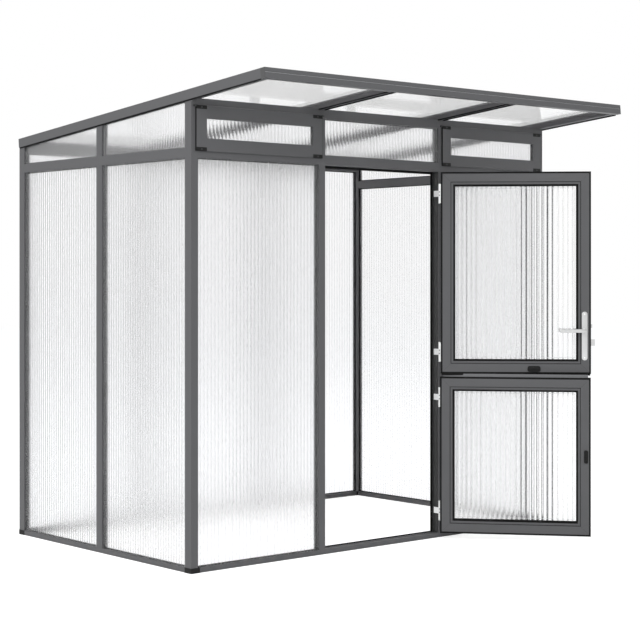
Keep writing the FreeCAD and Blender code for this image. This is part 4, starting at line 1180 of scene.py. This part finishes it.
@dataclass(frozen=True)
class Furniture:
    """Handles, plates and turn buttons of the door."""

    plate_half_width: float = 0.015
    plate_corner: float = 0.0135
    plate_rim: float = 0.0012
    grip_height: float = 0.020
    grip_depth: float = 0.012
    neck: float = 0.0165
    bend: float = 0.016
    ring_steps: int = 28
    path_steps: int = 56
    path_power: float = 0.9
    tip_length: float = 0.006
    tip_steps: int = 8
    tip_end: float = 0.995
    tip_depth: float = 0.4
    flat_from: float = 0.4
    flat_over: float = 1.6
    taper: float = 0.12
    squareness: float = 0.32
    hub_inset: float = 0.010
    root: float = 0.0006
    collar: Profile = ((0.0125, -0.0004), (0.0125, 0.0022), (0.0112, 0.0034), (0.0086, 0.0036))
    collar_steps: int = 32
    spindle_radius: float = 0.0038
    spindle_reach: float = 0.001
    screw_radius: float = 0.0042
    screw_height: float = 0.0012
    screw_inset: float = 0.013
    blade_corner: float = 0.7
    blade_thickness: float = 0.0062
    blade_rim: float = 0.0022
    ridge_length: float = 0.62
    ridge_half_width: float = 0.0022
    ridge_corner: float = 0.0021
    ridge_thickness: float = 0.0030
    ridge_rim: float = 0.0012
    ridge_rise: float = 0.0060
    pivot: Profile = ((0.0055, -0.0018), (0.0055, 0.0012))
    pivot_steps: int = 20

    def lever(self, hub: np.ndarray, plate: float, reach: float, tip: float) -> Form:
        """One lever: a round neck that bends into a flat grip with a domed tip.

        The centre line runs out along the second axis, turns through a quarter circle and runs
        back along the first to the tip. Each section is a squared ellipse, round on the neck
        and flat on the grip: between them a share runs from 0 to 1 and is smoothed, as 3 times
        its square less 2 times its cube. Near the tip the section shrinks as the root of 1 less
        the share squared.

        Args:
            hub: Where the spindle's axis crosses the leaf's first and third axes.
            plate: Where the plate's front lies on the second axis.
            reach: Where the grip's outer face lies on the second axis.
            tip: Where the grip ends on the first axis.

        Returns:
            The form.
        """
        way = np.sign(reach - plate)
        bend_start = reach - way * (self.grip_depth / 2 + self.bend)
        neck_length = abs(bend_start - plate)
        arc_length = self.bend * math.pi / 2
        grip_length = hub[0] - self.bend - tip
        total = neck_length + arc_length + grip_length
        place = np.linspace(0.0, 1.0, self.path_steps) ** self.path_power * total
        place[-self.tip_steps:] = total - np.linspace(self.tip_length, 0.0, self.tip_steps)
        turn = np.clip((place - neck_length) / self.bend, 0.0, math.pi / 2)
        past = np.clip(place - neck_length - arc_length, 0.0, None)
        x = hub[0] - self.bend * (1 - np.cos(turn)) - past
        y = plate + way * (np.minimum(place, neck_length) + self.bend * np.sin(turn))
        centre = np.stack([x, y, np.full_like(x, hub[2])], axis=-1)
        along = np.stack([-np.sin(turn), way * np.cos(turn), np.zeros_like(turn)], axis=-1)
        side = np.cross(along, UP)
        flat = np.clip((place - neck_length * self.flat_from) / (arc_length * self.flat_over), 0, 1)
        flat = flat * flat * (3 - 2 * flat)
        end = np.clip((place - total) / self.tip_length + 1.0, 0.0, self.tip_end)
        close = np.sqrt(1 - end ** 2)
        wide = (self.neck * (1 - flat) + self.grip_depth * flat) / 2
        wide = wide * (self.tip_depth + (1 - self.tip_depth) * close)
        tall = (self.neck * (1 - flat) + self.grip_height * flat) / 2
        tall = tall * close * (1.0 - self.taper * past / grip_length)
        angle = np.linspace(0.0, 2 * math.pi, self.ring_steps, endpoint=False)
        wave = np.stack([np.cos(angle), np.sin(angle)])[:, None, :]
        squared = np.sign(wave) * np.abs(wave) ** (1.0 - self.squareness * flat)[:, None]
        across = (wide[:, None] * squared[0])[..., None] * side[:, None, :]
        upright = (tall[:, None] * squared[1])[..., None] * UP
        return grid_form(centre[:, None, :] + across + upright)

    def levers(self, shop: Workshop, setting: Setting) -> None:
        """Both levers on their spindle.

        Args:
            shop: Where pieces are made.
            setting: The leaf's setting.
        """
        low, high = setting.box("lever_handles")
        plates = [corner[1] for corner in setting.box("handle_backplates")]
        hub = np.array([high[0] - self.hub_inset, 0.0, (low[2] + high[2]) / 2])
        forms = []
        for plate, reach in zip(plates, (low[1], high[1])):
            way = np.sign(reach - plate)
            forms.append(self.lever(hub, plate - way * self.root, reach, low[0]))
            forms.append(lathed(self.collar, hub + plate * THROUGH, way * THROUGH,
                                self.collar_steps))
        spindle = ((self.spindle_radius, plates[0] - self.spindle_reach),
                   (self.spindle_radius, plates[1] + self.spindle_reach))
        forms.append(lathed(spindle, hub, THROUGH, 4))
        shop.piece("levers", forms, Finish.SATIN, Slot.STEEL, "lever", setting, ("lever_handles",))

    def plates(self, shop: Workshop, setting: Setting) -> None:
        """The long plates, with round ends and two screws each.

        Args:
            shop: Where pieces are made.
            setting: The leaf's setting.
        """
        low, high = setting.box("handle_backplates")
        faces = [corner[1] for corner in setting.box("upper_leaf_frame")]
        middle = (low + high) / 2
        half_height = (high[2] - low[2]) / 2
        forms = []
        screws = []
        for back, front in zip(faces, (low[1], high[1])):
            way = np.sign(front - back)
            plate = Plate(self.plate_half_width, half_height, self.plate_corner,
                          abs(front - back), self.plate_rim)
            forms.append(plate.form(np.array([middle[0], back, middle[2]]), way))
            for shift in (-1.0, 1.0):
                height = middle[2] + shift * (half_height - self.screw_inset)
                screws.append(pan_head(np.array([middle[0], front, height]), way * THROUGH,
                                       self.screw_radius, self.screw_height))
        shop.piece("long_plates", forms, Finish.SATIN, Slot.STEEL, "upper_leaf", setting,
                   ("handle_backplates",))
        shop.piece("plate_screws", screws, Finish.ZINC, Slot.STEEL, "upper_leaf", setting)

    def button(self, shop: Workshop, node: str, body: str, leaf: str) -> None:
        """A turn button: a rounded blade on a pivot, with a finger ridge.

        Args:
            shop: Where pieces are made.
            node: The solid that the button stands for.
            body: The body it turns with.
            leaf: The leaf that carries it.
        """
        setting = leaf_setting(leaf + "_hinge")
        low, high = setting.box(node)
        face = setting.box(leaf + "_frame")[0][1]
        half_x, _, half_z = (high - low) / 2
        blade = Plate(half_x, half_z, min(half_x, half_z) * self.blade_corner,
                      self.blade_thickness, self.blade_rim)
        start = np.array([(low[0] + high[0]) / 2, face - self.root, (low[2] + high[2]) / 2])
        halves = (half_x * self.ridge_length, self.ridge_half_width)
        if half_x <= half_z:
            halves = (self.ridge_half_width, half_z * self.ridge_length)
        ridge = Plate(*halves, self.ridge_corner, self.ridge_thickness, self.ridge_rim)
        forms = [blade.form(start, -1.0), ridge.form(start - self.ridge_rise * THROUGH, -1.0),
                 lathed(self.pivot, start, -THROUGH, self.pivot_steps)]
        shop.piece(node + "_blade", forms, Finish.MOULDING, Slot.PLASTIC, body, setting, (node,))

    def build(self, shop: Workshop) -> None:
        """Make the door's furniture.

        Args:
            shop: Where pieces are made.
        """
        setting = leaf_setting("upper_leaf_hinge")
        self.levers(shop, setting)
        self.plates(shop, setting)
        self.button(shop, "upper_turn_button", "upper_button", "upper_leaf")
        self.button(shop, "lower_turn_button", "lower_button", "lower_leaf")


@dataclass(frozen=True)
class Hinges:
    """Caps on the knuckles and screws in the plates of the four hinges."""

    cap: Profile = ((0.005, 0.0), (0.005, 0.00105), (0.004, 0.0028), (0.0008, 0.0035))
    cap_steps: int = 20
    screw_radius: float = 0.0032
    screw_height: float = 0.0011
    screw_inset: float = 0.007
    plate_face: float = 0.397
    between_leaf_hinges: float = 0.2
    between_post_hinges: float = 0.1

    def caps(self, shop: Workshop, leaf: str) -> None:
        """Make the caps on one leaf's knuckles, which turn with the leaf.

        Args:
            shop: Where pieces are made.
            leaf: The leaf.
        """
        setting = leaf_setting(leaf + "_hinge")
        caps = []
        for group in split(setting.into(solid_points(leaf + "_hinges")), 2,
                           self.between_leaf_hinges):
            low, high = ends(group)
            caps += [lathed(self.cap, high[2] * UP, UP, self.cap_steps),
                     lathed(self.cap, low[2] * UP, -UP, self.cap_steps)]
        shop.piece(leaf + "_hinge_caps", caps, Finish.ZINC, Slot.STEEL, leaf, setting)

    def build(self, shop: Workshop) -> None:
        """Make the caps of both leaves and the screws of the posts' plates.

        Args:
            shop: Where pieces are made.
        """
        self.caps(shop, "upper_leaf")
        self.caps(shop, "lower_leaf")
        points = solid_points("post_hinges")
        screws = []
        for group in split(points[points[:, 0] < self.plate_face], 2, self.between_post_hinges):
            low, high = ends(group)
            for z in (low[2] + self.screw_inset, high[2] - self.screw_inset):
                place = np.array([low[0], high[1] - self.screw_inset, z])
                screws.append(pan_head(place, -ACROSS, self.screw_radius, self.screw_height))
        shop.piece("hinge_screws", screws, Finish.DARK, Slot.STEEL, "frame")


@dataclass(frozen=True)
class VentTrim:
    """Black end plates, partly moulded plastic and partly painted shade of the gap at each sash's end, and corner
    screws of the two top-hung vents.
    """

    plate: float = 0.0010
    screw_radius: float = 0.0042
    screw_height: float = 0.0012
    between_ends: float = 0.2
    between_corners: float = 0.05

    def plates(self, node: str) -> list[Form]:
        """The thin black plates on the ends of one sash, partly painted shade of the gap beside it.

        Args:
            node: The sash.

        Returns:
            The plate at the left and the plate at the right.
        """
        low, high = HOUSE.box(node)
        half_depth = (high[1] - low[1]) / 2
        half = self.plate / 2
        section = ((half_depth, -half), (half_depth, half), (-half_depth, half),
                   (-half_depth, -half))
        plates = []
        for edge, way in ((low[0], -1.0), (high[0], 1.0)):
            start = np.array([edge + way * half, (low[1] + high[1]) / 2, low[2]])
            plates.append(bar(section, start, start + (high[2] - low[2]) * UP, way * ACROSS))
        return plates

    def screws(self, node: str) -> list[Form]:
        """A screw in the front of each moulded corner of one sash.

        Args:
            node: The moulded corners.

        Returns:
            The screws.
        """
        screws = []
        for end in split(solid_points(node), 0, self.between_ends):
            for corner in split(end, 2, self.between_corners):
                low, high = ends(corner)
                place = np.array([(low[0] + high[0]) / 2, low[1], (low[2] + high[2]) / 2])
                screws.append(pan_head(place, -THROUGH, self.screw_radius, self.screw_height))
        return screws

    def build(self, shop: Workshop) -> None:
        """Make the trim of both vents.

        Args:
            shop: Where pieces are made.
        """
        for side in ("left", "right"):
            # The black end plates darken the sashes' ends: partly painted shade of the gap beside each sash.
            shop.piece(f"vent_shade_end_plates_{side}", self.plates(f"vent_frame_{side}"),
                       Finish.MOULDING, Slot.PLASTIC, f"vent_{side}")
            shop.piece(f"vent_screws_{side}", self.screws(f"vent_end_caps_{side}"), Finish.DARK,
                       Slot.DARK, f"vent_{side}")


@dataclass(frozen=True)
class RoofTrim:
    """Black gaskets under the roof bars, partly seals and partly painted shade on the bars' undersides, and screws
    along the cover strips.
    """

    gasket_width: float = 0.007
    gasket_drop: float = 0.006
    gasket_gap: float = 0.0004
    gasket_inset: float = 0.004
    bead_down: float = 0.0208
    bead_depth: float = 0.0028
    bead_width: float = 0.0022
    bead_height: float = 0.0024
    between_bars: float = 0.1
    screw_every: float = 0.40
    screw_inset: float = 0.06
    screw: Profile = ((0.0085, -0.0002), (0.0085, 0.0006), (0.0055, 0.0009), (0.0055, 0.0024),
                      (0.00385, 0.0034), (0.0004, 0.0036))

    def gaskets(self, setting: Setting) -> list[Form]:
        """A black gasket under each edge of the roof bars that a sheet lies on: partly a seal, partly painted
        shade on the bars' undersides.

        Args:
            setting: The roof's setting.

        Returns:
            The gaskets.
        """
        section = round_bar_section(self.gasket_width, self.gasket_drop)
        sides = {"rake_left": (-1.0,), "rake_right": (1.0,), "rafters": (1.0, -1.0)}
        gaskets = []
        for node, ways in sides.items():
            for group in split(setting.into(solid_points(node)), 0, self.between_bars):
                low, high = ends(group)
                for way in ways:
                    edge = low[0] if way > 0 else high[0]
                    middle = edge + way * (self.gasket_width / 2 + self.gasket_gap)
                    start = np.array([middle, low[1], low[2] + self.gasket_inset])
                    end = np.array([middle, low[1], high[2] - self.gasket_inset])
                    gaskets.append(bar(section, start, end, -THROUGH))
        return gaskets

    def screws(self, setting: Setting) -> list[Form]:
        """Screws with washers along the cover strips.

        Args:
            setting: The roof's setting.

        Returns:
            The screws.
        """
        screws = []
        for group in split(setting.into(solid_points("roof_cap_strips")), 0, self.between_bars):
            low, high = ends(group)
            count = int(round((high[2] - low[2]) / self.screw_every)) + 1
            for place in np.linspace(low[2] + self.screw_inset, high[2] - self.screw_inset, count):
                centre = np.array([(low[0] + high[0]) / 2, high[1], place])
                screws.append(lathed(self.screw, centre, THROUGH, SCREW_SIDES))
        return screws

    def build(self, shop: Workshop) -> None:
        """Make the black gaskets, partly painted shade under the bars, the pale bead on the fascia, a painted
        highlight, and the screws.

        Args:
            shop: Where pieces are made.
        """
        setting = roof_setting()
        # The black gaskets darken the undersides of the bars: partly painted shade.
        shop.piece("roof_shade_gaskets", self.gaskets(setting), Finish.RUBBER, Slot.RUBBER, "frame",
                   setting)
        # The bead along the fascia is coated pale: a painted highlight.
        low, high = setting.box("fascia")
        start = np.array([low[0], high[1] - self.bead_down, low[2] + self.bead_depth])
        bead = bar(round_bar_section(self.bead_width, self.bead_height), start,
                   start + (high[0] - low[0]) * ACROSS, -UP)
        shop.piece("fascia_bead", [bead], Finish.PAINTED_HIGHLIGHT_COAT, Slot.FRAME, "frame", setting)
        shop.piece("roof_screws", self.screws(setting), Finish.DARK, Slot.DARK, "frame", setting)


@dataclass(frozen=True)
class DoorwayTrim:
    """Dark liners on the door posts' reveals, painted shade inside the doorway, and a ribbed tread on the
    threshold.
    """

    liner: float = 0.0005
    chamfer: float = 0.0006
    root: float = 0.0002
    edge: float = 0.002
    end_gap: float = 0.0005
    strike_margin: float = 0.006
    tread_ribs: int = 5
    tread_width: float = 0.0032
    tread_height: float = 0.0012
    tread_gap: float = 0.001
    tread_from: float = 0.010
    tread_to: float = 0.004

    def spans(self, foot: float, head: float, strike: bool) -> list[tuple[float, float]]:
        """The heights that a liner covers.

        Args:
            foot: Where the liner starts.
            head: Where it ends.
            strike: Whether it is open where the two bolts enter the post.

        Returns:
            The start and the end of each stretch.
        """
        if not strike:
            return [(foot, head)]
        return [(foot, HOUSE.box("deadbolt")[0][2] - self.strike_margin),
                (HOUSE.box("latch_bolt")[1][2] + self.strike_margin, head)]

    def shade_liners(self) -> list[Form]:
        """The dark liners of both reveals, painted shade inside the doorway, open at the bolts on the lock's side.

        Returns:
            The dark liners.
        """
        foot = HOUSE.box("base_rail_front")[1][2] + self.end_gap
        head = HOUSE.box("front_transoms")[0][2] - self.end_gap
        left_low, left_high = HOUSE.box("door_post_left")
        right_face = HOUSE.box("door_post_right")[0][0]
        low_y = left_low[1] + self.edge
        high_y = HOUSE.box("door_stops")[0][1] - self.edge / 2
        half = (high_y - low_y) / 2
        section = ((half, 0.0), (half - self.chamfer, self.liner),
                   (-half + self.chamfer, self.liner), (-half, 0.0), (-half, -self.root),
                   (half, -self.root))
        shade_liners = []
        for face, way in ((left_high[0], 1.0), (right_face, -1.0)):
            for bottom, top in self.spans(foot, head, way > 0):
                start = np.array([face, (high_y + low_y) / 2, bottom])
                shade_liners.append(bar(section, start, start + (top - bottom) * UP, way * ACROSS))
        return shade_liners

    def tread(self) -> list[Form]:
        """The ribs across the threshold.

        Returns:
            The ribs.
        """
        rail_low, rail_high = HOUSE.box("base_rail_front")
        left = HOUSE.box("door_post_left")[1][0] + self.tread_gap
        right = HOUSE.box("door_post_right")[0][0] - self.tread_gap
        section = round_bar_section(self.tread_width, self.tread_height)
        places = np.linspace(rail_low[1] + self.tread_from,
                             HOUSE.box("door_stops")[0][1] - self.tread_to, self.tread_ribs)
        return [bar(section, np.array([left, place, rail_high[2]]),
                    np.array([right, place, rail_high[2]]), UP) for place in places]

    def build(self, shop: Workshop) -> None:
        """Make the dark liners, painted shade, and the tread."""
        # The dark liners stand in for the shade inside the doorway: painted shade.
        shop.piece("reveal_shade_liners", self.shade_liners(), Finish.SHADE_LINER, Slot.PLASTIC, "frame")
        shop.piece("threshold_tread", self.tread(), Finish.COAT, Slot.FRAME, "frame")


@dataclass(frozen=True)
class Studio:
    """White surroundings, a white floor, one soft lamp and the camera."""

    sky: float = 0.86
    floor_colour: float = 0.6
    glow_near: float = 0.72
    glow_far: float = 0.5
    near: float = 3.0
    far: float = 16.0
    half_floor: float = 30.0
    lamp_place: tuple[float, float, float] = (-6.0, -5.0, 5.0)
    lamp_aim: tuple[float, float, float] = (0.0, -0.8, 1.2)
    lamp_size: float = 4.0
    lamp_watts: float = 260.0
    sky_colour: Colour = (0.96, 0.98, 1.0)
    camera_place: tuple[float, float, float] = (-5.7323, -7.6577, 1.3954)
    camera_turn: float = -40.87
    camera_lens: float = 91.22
    camera_sensor: float = 36.0
    camera_shift: float = -0.0695
    bounces: int = 16
    clear_bounces: int = 48

    def seen(self, graph: Graph) -> Sock:
        """1 for rays from the camera, or mirrored or passed on by clear things, else 0.

        Args:
            graph: The graph that asks.

        Returns:
            The value.
        """
        path = graph.add("ShaderNodeLightPath")
        seen = Sock(graph, path.outputs["Is Camera Ray"])
        for name in ("Is Glossy Ray", "Is Transmission Ray"):
            seen = seen.at_least(Sock(graph, path.outputs[name]))
        return seen

    def world(self) -> None:
        """Light the part at a plain level, and look white behind it."""
        world = bpy.data.worlds.new("studio")
        bpy.context.scene.world = world
        world.use_nodes = True
        graph = Graph(world.node_tree)
        lit = graph.node("ShaderNodeBackground",
                         values={"Color": self.sky_colour, "Strength": self.sky})
        white = graph.node("ShaderNodeBackground", values={"Color": grey(1.0), "Strength": 1.0})
        shader = graph.node("ShaderNodeMixShader", values=(self.seen(graph), lit, white))
        graph.add("ShaderNodeOutputWorld", values={"Surface": shader})

    def floor(self) -> None:
        """A white floor that shows only the part's soft shadow; its glow fades far away."""
        mesh = bpy.data.meshes.new("floor")
        half = self.half_floor
        corners = [(-half, -half, 0.0), (half, -half, 0.0), (half, half, 0.0), (-half, half, 0.0)]
        mesh.from_pydata(corners, [], [(0, 1, 2, 3)])
        floor = bpy.data.objects.new("floor", mesh)
        bpy.context.scene.collection.objects.link(floor)
        material, graph = new_material("floor")
        distance = graph.node("ShaderNodeVectorMath", {"operation": "LENGTH"}, (graph.place(),),
                              "Value")
        fade = distance.ramp(self.near, self.far)
        glow = self.glow_near - (self.glow_near - self.glow_far) * fade
        lit = graph.node("ShaderNodeBsdfDiffuse", values={"Color": grey(self.floor_colour)})
        glowing = graph.node("ShaderNodeEmission",
                             values={"Color": grey(1.0), "Strength": self.seen(graph) * glow})
        graph.surface(graph.node("ShaderNodeAddShader", values=(lit, glowing)))
        mesh.materials.append(material)

    def lamp(self) -> None:
        """The soft square lamp, high to the left of the door."""
        data = bpy.data.lights.new("key", "AREA")
        data.size = self.lamp_size
        data.energy = self.lamp_watts
        lamp = bpy.data.objects.new("key", data)
        lamp.location = self.lamp_place
        way = Vector(self.lamp_aim) - Vector(self.lamp_place)
        lamp.rotation_euler = way.to_track_quat("-Z", "Y").to_euler()
        bpy.context.scene.collection.objects.link(lamp)

    def camera(self) -> None:
        """The camera at the photograph's place: level, and turned round to the left."""
        data = bpy.data.cameras.new("camera")
        data.lens = self.camera_lens
        data.sensor_width = self.camera_sensor
        data.shift_y = self.camera_shift
        camera = bpy.data.objects.new("camera", data)
        camera.location = self.camera_place
        camera.rotation_euler = (math.radians(90.0), 0.0, math.radians(self.camera_turn))
        bpy.context.scene.collection.objects.link(camera)
        bpy.context.scene.camera = camera

    def build(self) -> None:
        """Set up the studio."""
        scene = bpy.context.scene
        scene.view_settings.view_transform = "Standard"
        scene.cycles.max_bounces = self.bounces
        scene.cycles.transmission_bounces = self.bounces
        scene.cycles.transparent_max_bounces = self.clear_bounces
        self.world()
        self.floor()
        self.lamp()
        self.camera()


SLOT_FINISH = {
    "frame_aluminium": Finish.COAT,
    "twin_wall_sheet": Finish.SHEET,
    "black_plastic": Finish.MOULDING,
    "seal_rubber": Finish.RUBBER,
    "satin_steel": Finish.SATIN,
    "dark_steel": Finish.DARK,
}
NODE_FINISH = {
    "roof_end_caps": Finish.END_PLATE,
    "post_hinges": Finish.ZINC,
    "upper_leaf_hinges": Finish.ZINC,
    "lower_leaf_hinges": Finish.ZINC,
    "lower_leaf_weather_bar": Finish.BAR,
}


def dress_solids(paints: Paints) -> None:
    """Give every solid of the model its own finish, or else the finish of its slot."""
    for part in frame["record"]["subparts"]:
        node = part["node"]
        finish = NODE_FINISH.get(node, SLOT_FINISH[part["material_slot"]])
        solid = frame["nodes"][node]
        solid.data.materials.clear()
        solid.data.materials.append(paints.of(finish))
        log.info("%s: %s", node, finish.name.lower())


def main() -> None:
    """Set the studio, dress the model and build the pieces."""
    logging.basicConfig(level=logging.INFO)
    Studio().build()
    paints = Paints()
    shop = Workshop(paints)
    dress_solids(paints)
    glazing = Glazing()
    glazing.build(shop)
    WallShadeGaskets().build(shop, glazing)
    LeafTrim("upper_leaf").build(shop, with_sweep=True)
    LeafTrim("lower_leaf").build(shop, with_sweep=False)
    Furniture().build(shop)
    Hinges().build(shop)
    VentTrim().build(shop)
    RoofTrim().build(shop)
    DoorwayTrim().build(shop)


if __name__ == "__main__":
    main()
